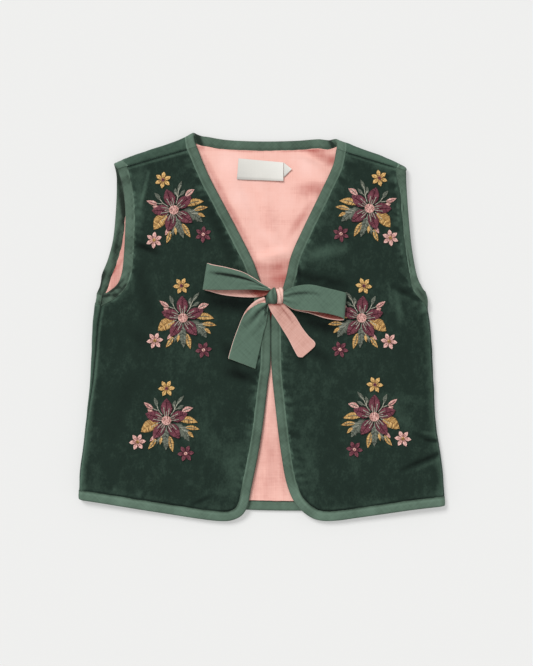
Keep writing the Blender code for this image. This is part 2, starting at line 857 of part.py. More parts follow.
def build_front(side):
    name = "front_left" if side < 0 else "front_right"
    edge, armhole = front_bands(side)
    first, second = inset(edge, RAW_EDGE_INSET), inset(armhole, RAW_EDGE_INSET)
    if side < 0:
        side_path = seam_path(edge, side_stations(-1, False), armhole)
        shoulder = seam_path(armhole, straight(*LEFT_SHOULDER_SEAM, BINDING_WIDTH), edge)
        outline = closed_outline(first, side_path, second, shoulder)
    else:
        shoulder = seam_path(edge, straight(*RIGHT_SHOULDER_SEAM, BINDING_WIDTH), armhole)
        side_path = seam_path(armhole, side_stations(1, False), edge)
        outline = closed_outline(first, shoulder, second, side_path)
    bound, seams = (run_on(edge), run_on(armhole)), (side_path, shoulder)
    rings = [inset(item, PRESSED_TO) for item in (edge, armhole)]
    ditch_sides = (SEAM_DITCH_WIDTH / 2, SEAM_DITCH_WIDTH)
    rows = [side_path[3:-3] - (side * away, 0) for away in ditch_sides]
    fill = [*inset(edge, PUFFED_FROM), *inset(armhole, PUFFED_FROM)]
    fill += [*crease_points(), *lattice(outline, FRONT_LATTICE)]
    points, joined = scattered(outline, rings, rows, fill, bound, FRONT_LATTICE * 0.38)
    cut = triangulated(points, len(outline), joined)

    def relief(flat):
        return front_relief(flat, bound, seams)

    def wall(flat):
        free, _ = pressed(flat, bound, seams)
        away = np.min([distance_to(flat, path) for path in (*bound, *seams)], axis=0)
        full = PANEL_WALL + (PUFFED_WALL - PANEL_WALL) * ramp(away, 16, 38)
        return PRESSED_WALL + (full - PRESSED_WALL) * free

    made = panel(name, cut, front_surface, relief, wall)
    build_binding(name.replace("front", "binding_front"), edge, front_surface)
    arm = "left" if side < 0 else "right"
    build_binding(f"binding_armhole_{arm}_front", armhole, front_surface)
    return made


def fold_rows():
    """Rows along each fold of the back's cut, at even turns round it."""
    rows = []
    for turn in np.linspace(0, math.pi * FOLD_RADIUS, FOLD_STEPS + 1):
        for side, index in ((-1, 1), (1, 2)):
            centres = column(SIDE_OUTLINE, SIDE_STATIONS, index) + side * (turn - FOLD_RADIUS)
            rows.append(np.column_stack([centres, SIDE_STATIONS]))
            _, over, line = shoulder_frame(side)
            rows.append(line[:: max(1, len(line) // 9)] + over * (turn - FOLD_RADIUS))
    return rows


def build_back(bands):
    left_armhole, neck, right_armhole, hem = bands
    cut = [inset(item, RAW_EDGE_INSET) for item in bands]
    left_side = seam_path(hem, side_stations(-1, True), left_armhole)
    right_side = seam_path(right_armhole, side_stations(1, True), hem)
    left_shoulder = seam_path(left_armhole, back_seam(LEFT_SHOULDER_SEAM), neck)
    right_shoulder = seam_path(neck, back_seam(RIGHT_SHOULDER_SEAM), right_armhole)
    outline = closed_outline(
        cut[0], left_shoulder, cut[1], right_shoulder, cut[2], right_side, cut[3], left_side
    )
    bound = [run_on(item) for item in bands]
    seams = (left_side, right_side, left_shoulder, right_shoulder)
    rings = [inset(item, PRESSED_TO) for item in bands]
    fill = [p for item in bands for p in inset(item, PUFFED_FROM)]
    fill += lattice(outline, BACK_LATTICE)
    points, joined = scattered(outline, rings, fold_rows(), fill, bound, 3.2)
    flat = triangulated(points, len(outline), joined)

    def relief(flat):
        free, ditch = pressed(flat, bound, seams)
        return -PRESSED_SINK * (1 - free) - SEAM_DITCH * ditch

    def wall(flat):
        free, _ = pressed(flat, bound, seams)
        return PRESSED_WALL + (PANEL_WALL - PRESSED_WALL) * free

    panel("back_panel", flat, back_surface, relief, wall)
    names = ("armhole_left_back", "neck_back", "armhole_right_back", "hem_back")
    for name, item in zip(names, bands):
        build_binding(f"binding_{name}", item, back_surface)


def lining_top(points, bound):
    free, _ = pressed(points, bound, ())
    panel_inner = PRESSED_SINK + PRESSED_WALL
    panel_inner += (PANEL_WALL - PRESSED_SINK - PRESSED_WALL) * free
    return panel_inner + LINING_GAP + LINING_WALL


def beside_fold(side, shoulder):
    """The lining's edge along a fold, clockwise: up the left side, or down the right."""
    if shoulder:
        along, over, line = shoulder_frame(side)
        ends = LEFT_SHOULDER_SEAM if side < 0 else RIGHT_SHOULDER_SEAM
        start, end = np.asarray(ends) @ along
        between = (line @ along > start + BINDING_WIDTH) & (line @ along < end - BINDING_WIDTH)
        return line[between][::6] - over * (FOLD_RADIUS + LINING_INSET)
    heights = (-152, *SIDE_STATIONS, 7)
    centres = column(SIDE_OUTLINE, heights, 1 if side < 0 else 2)
    path = np.column_stack([centres - side * (FOLD_RADIUS + LINING_INSET), heights])
    return path[::-side]


def build_lining(bands):
    """The back's lining, up to the bindings and into the side and shoulder folds."""
    cut = []
    for item in bands:
        path = inset(item, BINDING_WIDTH + SEAM_GAP)
        beyond, over = past_fold(path)
        cut.append(path - over * np.maximum(beyond + LINING_INSET, 0)[:, None])
    outline = closed_outline(
        cut[0],
        beside_fold(-1, True),
        cut[1],
        beside_fold(1, True),
        cut[2],
        beside_fold(1, False),
        cut[3],
        beside_fold(-1, False),
    )
    bound = [run_on(item) for item in bands]
    rows = [inset(item, PUFFED_FROM) for item in bands]
    fill = lattice(outline, LINING_LATTICE)
    points, joined = scattered(outline, (), rows, fill, bound, LINING_LATTICE * 0.38)
    flat, faces = triangulated(points, len(outline), joined)
    placed = np.column_stack([flat, lining_top(flat, bound)])
    made = new_object("back_lining", placed, faces, "lining")
    face_out(made, np.tile((0, 0, 1), (len(flat), 1)))
    thicken(made, LINING_WALL)
    return bound


# Bindings


def binding_section():
    """(distance in from the fold, depth) round a binding's outside, then back round its inside."""
    half = BINDING_HEIGHT / 2
    loops = []
    for radius in (half, half - BINDING_WALL):
        turn = [
            (half - radius * math.sin(angle), half - radius * math.cos(angle))
            for angle in np.linspace(0, math.pi, BINDING_TURN_STEPS + 1)
        ]
        loops.append([(BINDING_WIDTH, half - radius), *turn, (BINDING_WIDTH, half + radius)])
    return loops[0] + loops[1][::-1]


def build_binding(name, edge_band, surface):
    """A binding: its section at each station of the edge, joined along it and closed at its ends."""
    edge, inward = edge_band
    section = binding_section()
    flat, rows = [], []
    for distance, depth in section:
        flat.append(edge + inward * distance)
        placed, normals = surface(flat[-1])
        rows.append(placed - normals * depth)
    flat, grid = np.stack(flat, axis=1), np.stack(rows, axis=1)
    count, width = grid.shape[:2]
    faces = []
    for i in range(count - 1):
        for j in range(width):
            across = (j + 1) % width
            a, b, c, d = (i, j), (i, across), (i + 1, across), (i + 1, j)
            # Each quad is split along its shorter diagonal of the flat cut, as the panel's are.
            if math.dist(flat[a], flat[c]) < math.dist(flat[b], flat[d]):
                split = ((a, b, c), (a, c, d))
            else:
                split = ((a, b, d), (b, c, d))
            faces += [tuple(row * width + place for row, place in face) for face in split]
    last = (count - 1) * width
    for j in range(width // 2 - 1):
        ends = (j, j + 1, width - 2 - j, width - 1 - j)
        faces.append(ends[::-1])
        faces.append(tuple(last + index for index in ends))
    if surface is front_surface:
        faces = [face[::-1] for face in faces]
    new_object(name, grid.reshape(-1, 3), faces, "binding")


# Bow


def ground(points, bounds):
    """The height of the fronts under the bow, bridged across the gap between them."""
    height = np.full(len(points), FRONT_TOP, float)
    for bound, seams in bounds:
        within = inside(points, np.concatenate(bound))
        relief = np.maximum(front_relief(points, bound, seams), 0)
        height += np.where(within, relief, 0)
    return height


def front_bounds():
    """The bound edges and seams of both fronts, each as closed paths."""
    bounds = []
    for side in (-1, 1):
        edge, armhole = front_bands(side)
        shoulder = LEFT_SHOULDER_SEAM if side < 0 else RIGHT_SHOULDER_SEAM
        ends = (edge[0][-1], armhole[0][0]) if side < 0 else (armhole[0][-1], edge[0][0])
        seams = (np.array(shoulder), np.array(ends))
        bounds.append(((edge[0], armhole[0]), seams))
    return bounds


def build_ribbon(name, rows, bounds, colour):
    """A stretch of ribbon through its rows, dented lengthwise where a row has a crease."""
    table = np.array(rows, float)
    share = np.linspace(0, 1, RIBBON_COLUMNS + 1)[None, :, None]
    plan = table[:, None, 0:2] * (1 - share) + table[:, None, 2:4] * share
    dent = 1 - np.abs(share[..., 0] - RIBBON_CREASE_AT) / 0.25
    lift = table[:, 4:5] - table[:, 5:6] * np.maximum(dent, 0)
    flat = plan.reshape(-1, 2)
    height = ground(flat, bounds) + lift.reshape(-1)
    width = RIBBON_COLUMNS + 1
    faces = [
        (i * width + j, i * width + j + 1, (i + 1) * width + j + 1, (i + 1) * width + j)
        for i in range(len(table) - 1)
        for j in range(RIBBON_COLUMNS)
    ]
    made = new_object(name, np.column_stack([flat, height]), faces, colour)
    solidify = made.modifiers.new("wall", "SOLIDIFY")
    solidify.thickness = RIBBON_WALL * MM
    solidify.offset = 0
    solidify.use_even_offset = False
    return made


def build_knot():
    """The tight wrap at the bow's middle, rounded and a little flattened underneath."""
    mesh = bpy.data.meshes.new("bow_knot")
    form = bmesh.new()
    bmesh.ops.create_uvsphere(form, u_segments=16, v_segments=9, radius=1)
    half = [size / 2 for size in KNOT_SIZE]
    for vertex in form.verts:
        squared = [math.copysign(abs(value) ** 0.7, value) for value in vertex.co]
        squared[2] = max(squared[2], -0.72)
        vertex.co = [value * size * MM for value, size in zip(squared, half)]
    form.to_mesh(mesh)
    form.free()
    mesh.materials.append(material("bow_knot", "binding"))
    mesh.shade_smooth()
    knot = bpy.data.objects.new("bow_knot", mesh)
    bpy.data.collections["embroidered_waistcoat"].objects.link(knot)
    rise = FRONT_TOP + KNOT_LIFT + 0.72 * half[2]
    knot.location = (KNOT_CENTRE[0] * MM, KNOT_CENTRE[1] * MM, rise * MM)


def build_bow(bounds):
    build_ribbon("bow_loop_left", LEFT_LOOP, bounds, "binding")
    build_ribbon("bow_loop_right", RIGHT_LOOP, bounds, "binding")
    build_ribbon("bow_tail_left", LEFT_TAIL, bounds, "binding")
    build_ribbon("bow_tail_right", RIGHT_TAIL, bounds, "pink")
    build_ribbon("tie_left", LEFT_TIE, bounds, "binding")
    build_ribbon("tie_right", RIGHT_TIE, bounds, "binding")
    build_knot()


# Labels and embroidery


def laid_on(name, outline, height, wall, colour, spots=()):
    """A thin flat piece whose underside follows a height over the plane."""
    flat, faces = triangulated([*outline, *spots], len(outline))
    placed = np.column_stack([flat, height(flat) + wall])
    made = new_object(name, placed, faces, colour)
    face_out(made, np.tile((0, 0, 1), (len(flat), 1)))
    thicken(made, wall)


def build_labels(bound):
    def on_lining(flat):
        return lining_top(flat, bound) + SEAM_GAP

    laid_on("neck_label", NECK_LABEL, on_lining, LABEL_WALL, "label")
    laid_on("size_tag", SIZE_TAG, on_lining, LABEL_WALL, "label")


def star(petals, tip, notch, shoulder=None):
    """An outline of pointed petals, the first one up."""
    turns = [(0.0, tip), (0.5, notch)]
    if shoulder:
        turns = [(0.0, tip), (0.27, shoulder), (0.5, notch), (0.73, shoulder)]
    points = []
    for petal in range(petals):
        for share, reach in turns:
            angle = math.pi / 2 + 2 * math.pi * (petal + share) / petals
            points.append((reach * math.cos(angle), reach * math.sin(angle)))
    return np.array(points)


def spray():
    """The outline of the leaves round a flower, each leaf a rounded wedge out to its reach."""
    points = []
    for index in range(SPRAY_POINTS):
        angle = 360 * index / SPRAY_POINTS
        reach = SPRAY_NOTCH
        for direction, tip, half in SPRAY_LEAVES:
            off = abs((angle - direction + 180) % 360 - 180) / half
            reach = max(reach, SPRAY_NOTCH + (tip - SPRAY_NOTCH) * (1 - off**1.5) if off < 1 else 0)
        turn = math.radians(angle)
        points.append((reach * math.cos(turn), reach * math.sin(turn)))
    return np.array(points)


def placed_motif(points, x, y, turn, side):
    angle = math.radians(turn)
    mirrored = np.asarray(points, float) * (side, 1)
    spin = np.array([[math.cos(angle), math.sin(angle)], [-math.sin(angle), math.cos(angle)]])
    return mirrored @ spin + (x, y)


def build_sprigs(fronts):
    """The embroidery, each piece laid on the front panel's own mesh."""
    graph = bpy.context.evaluated_depsgraph_get()
    trees = {side: BVHTree.FromObject(made, graph) for side, made in fronts.items()}
    for name, x, y, turn, side in SPRIGS:
        tree = trees[-side]

        def height(flat, lift):
            hits = [tree.ray_cast((px * MM, py * MM, 1), (0, 0, -1))[0] for px, py in flat]
            return np.array([hit.z / MM for hit in hits]) + lift

        def piece(kind, outline, lift, wall, colour, inner):
            ring = placed_motif(outline, x, y, turn, side)
            spots = placed_motif(inner, x, y, turn, side)
            laid_on(f"{kind}_{name}", ring, lambda flat: height(flat, lift), wall, colour, spots)

        around = star(5, 9.0, 9.0)
        piece("leaves", spray(), SPRAY_LIFT, SPRAY_WALL, "leaf", np.array([(0, 0), *around]))
        flower = star(5, FLOWER_TIP, FLOWER_NOTCH, FLOWER_SHOULDER)
        piece("flower", flower, FLOWER_LIFT, FLOWER_WALL, "burgundy", np.array([(0, 0)]))
        for colour, dx, dy in BLOSSOMS:
            outline = star(6, BLOSSOM_TIP, BLOSSOM_NOTCH) + (dx, dy)
            inner = np.array([(dx, dy)])
            piece(f"blossom_{colour}", outline, BLOSSOM_LIFT, BLOSSOM_WALL, colour, inner)


def main():
    clear_scene()
    parts = bpy.data.collections.new("embroidered_waistcoat")
    bpy.context.scene.collection.children.link(parts)
    bands = back_bands()
    build_back(bands)
    bound = build_lining(bands)
    fronts = {side: build_front(side) for side in (-1, 1)}
    build_labels(bound)
    build_bow(front_bounds())
    bpy.context.view_layer.update()
    build_sprigs(fronts)


main()
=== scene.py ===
"""A child's padded velvet waistcoat, laid flat with its front up and its fronts tied in a bow.

Sizes are in millimetres and become metres where a mesh is made. +X is the viewer's right, +Y
runs from the hem to the neck, and +Z points up from the surface that the back lies on.
A panel's cut is drawn flat. The back's cut runs past the side and shoulder folds, and
back_surface() rolls that part up and over to the seams on top.
"""

import math

import bmesh
import bpy
import numpy as np
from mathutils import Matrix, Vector
from mathutils.geometry import delaunay_2d_cdt

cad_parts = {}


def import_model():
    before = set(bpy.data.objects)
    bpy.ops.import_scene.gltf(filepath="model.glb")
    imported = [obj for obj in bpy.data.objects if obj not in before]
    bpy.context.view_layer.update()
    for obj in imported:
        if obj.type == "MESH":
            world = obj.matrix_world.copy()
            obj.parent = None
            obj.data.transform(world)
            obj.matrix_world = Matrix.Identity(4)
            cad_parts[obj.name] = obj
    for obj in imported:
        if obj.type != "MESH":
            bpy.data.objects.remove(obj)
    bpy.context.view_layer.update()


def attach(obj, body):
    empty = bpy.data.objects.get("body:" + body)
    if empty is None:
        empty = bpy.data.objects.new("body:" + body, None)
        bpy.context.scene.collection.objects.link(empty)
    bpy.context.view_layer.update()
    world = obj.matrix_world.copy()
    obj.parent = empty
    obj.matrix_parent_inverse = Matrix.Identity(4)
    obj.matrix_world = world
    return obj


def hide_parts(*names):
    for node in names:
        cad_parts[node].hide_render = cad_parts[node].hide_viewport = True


MM = 0.001
SEAM_GAP = 0.3
SEED = 7
LEFT, RIGHT = -1, 1  # the sides, as the sign of x

# Cloth
PANEL_WALL = 3.5
PUFFED_WALL = 4.5
PRESSED_WALL = 1.4
LINING_WALL = 0.9
LINING_GAP = 0.45
LINING_INSET = 2.4
RIBBON_WALL = 0.9
LABEL_WALL = 0.5
FOLD_RADIUS = 4.6
FRONT_TOP = 2 * FOLD_RADIUS
FRONT_PUFF = 2.0
HEM_DROOP = 2.4

# Bias binding
BINDING_WIDTH = 9.5
BINDING_HEIGHT = 4.0
BINDING_WALL = 0.9
RAW_EDGE_INSET = 2.6
RUN_ON = 24
PRESSED_SINK = 1.3
SNUG = 7.6, 9.9  # where the velvet rises beside a binding: close against it,
OPEN = 8.5, 10.5  # or with a narrow ditch left open, as along the hem
SEAM_DITCH = 0.75
SEAM_DITCH_WIDTH = 3.6

# Fineness
CLOSE_STEP, CLOSE_TO = 1.5, 17.0
FRONT_STEP, BACK_STEP, LINING_STEP = 2.4, 4.0, 3.0
INNER_STEP = 7.0
NEAREST_CHUNK = 4000
EDGE_STEP, LEAST_EDGE = 1.6, 0.5
SHARP_ANGLE = math.radians(55)
BINDING_STEP = 1.5
THREAD_SPACING, THREAD_WIDTH = 0.46, 0.52

# Outlines, as (x, y) down the middle of each curve, in the order that goes clockwise round a panel
SIDE_OUTLINE = (  # y, left x, right x
    (-200, -176.5, 176.5), (-166, -174, 174), (-140, -173, 172.3), (-112, -169.6, 168.8),
    (-101, -168.4, 166.6), (-51, -163, 163.3), (-6, -161, 160.9), (10, -159.7, 158.9),
    (23, -158.3, 157.2), (33, -157.2, 156), (45, -156.6, 155.6), (60, -160, 160), (100, -190, 190),
)
SIDE_SEAM_INSET = (  # y, from the left outline, from the right outline
    (-200, 0.6, 0.6), (-105, 0.7, 0.6), (-75, 1.3, 0.6), (-50, 2.8, 0.6), (-25, 4.4, 0.6),
    (6, 5.6, 0.6), (18, 6.5, 0.6), (40, 6.5, 0.6),
)
SHOULDER_SLOPE = {LEFT: math.radians(20.5), RIGHT: math.radians(-23)}
SHOULDER = {
    LEFT: (
        (-158, 148), (-139.5, 155.6), (-116, 164.4), (-89, 173.4), (-75, 178.6), (-65, 184.2),
        (-50, 192),
    ),
    RIGHT: (
        (50, 187.4), (70.5, 178.4), (79.5, 174.6), (98.5, 167.3), (114.5, 161.9), (127.5, 156.2),
        (135.5, 151.7), (152, 143),
    ),
}
SHOULDER_SEAM = {LEFT: ((-136.5, 149.0), (-61.5, 170.3)), RIGHT: ((70.8, 168.0), (137.0, 147.5))}
UNDERARM_Y = {LEFT: 30.0, RIGHT: 33.0}
HEM_Y = {LEFT: -164.5, RIGHT: -170.5}
SHOULDERS_FROM_Y = 100  # above it a panel folds over the shoulders, and below it over the sides
HEM_ZONE = 146, 164  # where a panel gets near its hem, below the middle
SIDE_SEAM_YS = -156, 24, 4.0  # the side seam's stations
FRONT_EDGE = {
    LEFT: (  # V, front edge, rounded corner and hem
        (-50.5, 144), (-24, 93.5), (-8, 61.5), (-1.4, 43.5), (3.6, 31), (7.2, 18), (8.6, 3),
        (8.7, -20), (8.1, -38), (6, -54), (-1, -108.5), (-10.5, -157), (-13.5, -171), (-19, -179.5),
        (-28, -184), (-39, -184.9), (-96, -177), (-153.5, -167.6),
    ),
    RIGHT: (  # hem, rounded corner, front edge and V
        (144.5, -174), (94, -181.3), (69, -184.6), (56, -184.4), (46.5, -181.2), (33, -169.5),
        (24.5, -152), (18, -118), (12.3, -70.5), (9.5, -42), (8.9, -22), (8.9, -3), (9.2, 9),
        (12, 21), (18.6, 33), (22.8, 46), (27.8, 67), (39.5, 93.5), (55.5, 126.5), (67.8, 153.5),
    ),
}
FRONT_ARMHOLE = {
    LEFT: ((-145, 33.2), (-137, 40), (-133, 49.5), (-130.6, 70), (-129.4, 110), (-132, 133)),
    RIGHT: ((137.2, 136), (139.6, 101), (142.5, 73.5), (147, 49), (149.6, 41.8), (152.8, 36.8)),
}
LEFT_BACK_ARMHOLE = (
    (-161.2, 30.9), (-155.6, 36.8), (-151.8, 50), (-146.5, 63), (-141.5, 82), (-138.8, 108),
    (-137.8, 132), (-138.4, 146),
)
RIGHT_BACK_ARMHOLE = (
    (134.6, 140), (135.2, 118), (137.5, 86), (142, 60), (147.6, 43.6), (153.4, 36.2),
)
PAST_LEFT_ARM, PAST_LEFT_NECK, PAST_RIGHT_NECK = (-139.2, 152.4), (-63.8, 177.0), (71.2, 173.4)
BACK_NECK = (
    (-60, 182.2), (-50, 180), (-34.5, 177.4), (-12, 176.1), (12, 175.9), (35, 176.6), (54, 178),
    (64.5, 177.6),
)
BACK_HEM = ((150, -173.2), (80, -175), (0, -174.8), (-80, -170.8), (-150, -165.9))

# Folds pressed into the fronts: from x, y, to x, y, half-width, depth (a ridge is negative)
FRONT_CREASES = (
    (-120, 79, -90, 67, 7, 1.2), (-66, -160, -40, -149, 8, 1), (134, -136, 160, -124, 6, 1.3),
    (118, 42, 146, 28, 6, 1.1), (36, 60, 78, 41, 9, 1.2), (-40, -20, -52, -90, 16, 0.8),
    (70, -30, 62, -120, 16, 0.8), (-118, -10, -128, -90, 14, -0.7), (128, 10, 134, -70, 14, -0.7),
    (-100, 148, -60, 120, 12, -0.7), (88, 146, 110, 128, 12, -0.7),
)
# Sharper, shorter creases
FRONT_PUCKERS = (
    (-121, 80, -104, 72, 2.6, 0.9), (-108, 128, -118, 112, 3.2, -0.5), (30, 62, 38, 46, 3.4, 0.7),
    (44, 52, 62, 40, 5, 0.7), (52, 66, 74, 58, 6, -0.5), (138, 10, 152, 2, 3, 0.5),
    (126, 34, 148, 20, 2.8, 0.6), (120, 20, 140, 8, 3.6, 0.4), (150, -104, 162, -108, 2.6, 0.5),
    (-154, -72, -146, -80, 2.4, 0.7), (-156, -60, -148, -54, 3, 0.4),
    (-62, -158, -48, -152, 3.2, 0.5), (140, -132, 156, -126, 2.6, 0.5), (-30, 64, -22, 50, 4, 0.4),
)
LINING_FOLDS = (
    (22, 171, 58, 156, 5, -1.2), (40, 166, 70, 144, 6, -1.5), (36, 158, 64, 138, 5, 0.8),
    (46, 128, 58, 104, 7, -1.4), (30, 140, 50, 116, 9, -0.8), (-34, 150, -10, 96, 9, -1.1),
    (-20, 146, 2, 92, 9, 0.7), (-2, 138, 14, 84, 8, -0.8), (16, 128, 22, 70, 9, 0.6),
    (-2, 64, 24, 70, 8, -2.6), (2, 58, 20, 60, 5, -1.2), (10, -10, 4, -160, 6, -0.9),
    (2, -60, -4, -165, 5, 0.5), (-136, 96, -140, 64, 5, -1), (-142, 84, -132, 76, 3, 0.6),
    (-142, 70, -134, 60, 3, -0.8),
)
LINING_PAINTED_LIGHT_AND_SHADE = (  # painted shade where the cotton lies deep or in the shadow of the bindings and the bow, painted light on its raised folds: from x, y, to x, y, half-width, tone
    (-10, 54, 44, 61, 9, -0.5), (2, 43, 24, 41, 17, -0.5), (16, 48, 36, 40, 12, -0.6),
    (7, 30, 9, -26, 9, -1), (40, 170, 74, 154, 9, -0.6), (60, 152, 72, 162, 6, -0.2),
    (36, 129, 66, 132, 12, -0.55), (26, 86, 48, 118, 6, -0.4), (4, 100, 36, 108, 14, -0.18),
    (-58, 168, -4, 58, 6, -0.5), (-72, 170, -10, 166.6, 2.6, -0.45),
    (-30, 166.6, 40, 166.4, 2.6, -0.4), (20, 166.4, 72, 168.4, 2.6, -0.4),
    (-38, 168, -24, 146, 20, 0.4), (-32, 128, -14, 116, 14, 0.35), (36, 158, 46, 148, 15, 0.45),
    (20, 130, 24, 110, 14, 0.2), (-6, 96, 20, 72, 8, 0.2), (4, -60, 6, -170, 22, -0.2),
    (1, -36, -8, -168, 3.6, -0.32), (12, -36, 22, -168, 3.6, -0.25),
    (-129, 122, -143, 24, 10, -0.5), (-136, 84, -150, 34, 3.4, -0.9),
    (-131, 66, -142, 50, 2.2, -0.6), (7.6, 27, 8.4, 1, 2.8, -3),
)

# Strokes on the pile: painted shade near the bow and in its creases, painted sheen where it rolls,
# and patches where it leans: from x, y, to x, y, half-width, tone (a negative tone is shade)
PILE_SHEEN_AND_SHADE_STROKES = (
    (-53.9, 25.1, 0.3, 19.4, 14.2, -1), (-32, -43.3, -9.2, -49, 8.5, -0.9),
    (-33.9, -17.7, -24.4, -36.7, 8.5, -0.6), (36.4, 8, 71.5, -3.4, 11.4, -1),
    (41.1, -19.6, 64.9, -31.9, 8.5, -0.55), (36.4, 48.8, 79.1, 39.3, 7.6, -0.8),
    (32.6, 65, 36.4, 39.3, 3.8, -0.6), (-118.5, 78.3, -98.5, 69.7, 4.8, -0.9),
    (-115.6, 53.6, -104.2, 6.1, 12.3, -0.4), (-122.3, -3.4, -106.1, -17.7, 12.3, -0.3),
    (-53.9, 120.1, -28, 66, 7.6, -0.5), (-65.3, -168.2, -48.2, -160.6, 2.4, -0.7),
    (133.2, -135.5, 169.4, -119.4, 3.4, -0.9), (146, -136, 168, -126, 3.4, 0.3),
    (144, -101, 158, -107.4, 3, -0.5), (155, -107.6, 170, -108.6, 2.6, -0.9),
    (152, -100.5, 168, -102.6, 3.4, 0.3), (123.8, 38.4, 153.2, 23.2, 3.8, -0.6),
    (36.4, 65, 79.1, 74.5, 9.5, 0.5), (53.5, 41.2, 61.1, 43.1, 3.8, 0.5),
    (-107.1, 146.7, -114.7, 113.4, 2.5, 0.6), (-114, 156, -117, 92, 8, 0.3),
    (126.6, 34.6, 131.4, 6.1, 5.7, 0.5), (120, 40.3, 123.8, 15.6, 2.8, 0.4),
    (-163.2, 6.1, -172.8, -145.9, 5, 0.25), (161.9, 6.1, 173.3, -145.9, 4, 0.2),
    (-22.6, -112.4, -28.3, -155.4, 14, 0.26), (40.3, -97.9, 47.1, -160.2, 16, 0.26),
    (93.4, -65.2, 150.4, -69.9, 7.6, 0.2), (126.6, -74.7, 140.9, -98.4, 9.5, 0.25),
    (-115.6, 158.1, -77.6, 165.7, 6.6, 0.3), (102.9, 153.3, 127.6, 146.7, 6.6, 0.35),
    (-58.6, -93.7, -25.4, -136.4, 13.3, 0.15), (31.6, -22.4, 41.1, -39.5, 5.7, -0.4),
    (-144.1, -107.9, -125.1, -50.9, 13.3, -0.25), (64.9, -69.9, 74.4, -126.9, 11.4, -0.1),
)

# Ribbon bow. Each row: one edge x, y, the other edge x, y, lift over the fronts, crease
LEFT_LOOP = (
    (8.6, 32.4, 8.6, 34.4, 4.8, 0), (2.6, 28.6, 2.6, 34, 4.2, 0), (-6, 27.4, -4.5, 43, 2.8, 0.5),
    (-22, 27.9, -17.5, 50.9, 1.6, 0.5), (-38, 30, -33.5, 55.6, 1.2, 0),
    (-50.5, 33.4, -46.5, 58.3, 1.4, 0), (-54.2, 34.4, -50.3, 59.6, 2.3, 0),
    (-55.4, 34.6, -51.4, 59.7, 3.8, 0), (-54.2, 34.6, -50.3, 59.5, 5.3, 0),
    (-50.5, 34.4, -46.5, 58.4, 6.2, 0.4), (-37.5, 34.2, -33.5, 55.8, 7, 1.6),
    (-22, 34.4, -17.5, 51.2, 7.6, 2.4), (-7.5, 34.6, -5.5, 44.6, 8, 1.5),
    (2.6, 34, 3.2, 38.8, 8, 0.5), (8.4, 34.4, 8.4, 35.8, 7, 0),
)
RIGHT_LOOP = (
    (20.6, 21.6, 20.6, 31.4, 4.2, 0), (30, 15.8, 31, 37, 3, 0), (45.5, 12.2, 45.5, 38.8, 2.2, 0),
    (60, 7.6, 60.5, 35.8, 3, 0), (73.5, 5.6, 75.5, 32.4, 3.6, 0), (76.6, 5.8, 78.7, 32, 4.3, 0),
    (77.6, 6, 79.7, 31.8, 5.6, 0), (76.6, 7.6, 78.7, 31.9, 6.9, 0), (73.5, 9, 75.5, 32.8, 7.6, 0),
    (60, 12.3, 60.5, 36.4, 8.2, 0), (45.5, 14.2, 45.5, 39.4, 8.6, 0.6),
    (30, 16.2, 31, 37.6, 8.6, 0.8), (20.4, 21.4, 20.4, 33, 8, 0),
)
LEFT_TAIL = (
    (2.2, 28.2, 6.8, 19.6, 2.6, 0), (-6, 24.2, 6.2, 16.4, 2, -0.8), (-14, 16.4, 5.6, 12, 1.6, -0.8),
    (-18.8, 7.6, 4.4, 2.6, 1.2, -0.5), (-23, -3, 1.8, -6, 1, 0), (-27.2, -14.5, -0.8, -18, 1, 0),
    (-31.2, -28.4, -3.8, -31, 1.2, 0), (-31.4, -30.4, -5.8, -40.2, 1.4, 0),
)
RIGHT_TAIL = (
    (5.4, 22.4, 20.6, 22.4, 3, 0), (8.4, 14.6, 26.4, 16, 2.8, 0.6),
    (13.4, 7.2, 32.4, 8.4, 1.8, 0.4), (19.8, -3, 38.6, -1.6, 1.2, 0), (25.4, -12.2, 44.4, -9, 1, 0),
    (31, -23, 50.4, -15.2, 1.2, 0), (34.4, -28.6, 50.2, -18.8, 1.4, 0),
    (38.4, -29.4, 46.4, -22.6, 1.5, 0),
)
CREASE_AT, CREASE_WIDE = 0.68, 0.065
RIBBON_COLUMNS = 32
LEFT_TIE = (
    (3.4, 24.6, 3.4, 33.4, 0.5, 0), (-1.5, 23, -1.5, 35.6, 0.5, 0), (-7, 23.6, -7, 37, 0.5, 0),
)
RIGHT_TIE = (
    (21.6, 24.6, 21.6, 33.4, 0.5, 0), (25.5, 23.4, 25.5, 35.6, 0.5, 0), (30, 23.2, 30, 37, 0.5, 0),
)

# Neck label and size tag, corners of each
NECK_LABEL = ((-23.5, 139.5), (20.5, 137.9), (20.6, 155.6), (-22.0, 159.5))
SIZE_TAG = ((20.9, 141.4), (28.6, 149.2), (21.0, 155.4))

# Embroidered sprigs: name, x, y, turn in degrees, side (-1 mirrors the sprig)
SPRIGS = (
    ("left_top", -83.0, 110.0, 20.0, 1),
    ("left_middle", -74.5, 8.0, 2.5, 1),
    ("left_low", -90.0, -89.0, 0.0, 1),
    ("right_top", 102.0, 111.5, -18.0, -1),
    ("right_middle", 94.5, 8.0, -4.0, -1),
    ("right_low", 106.5, -85.5, -1.0, -1),
)

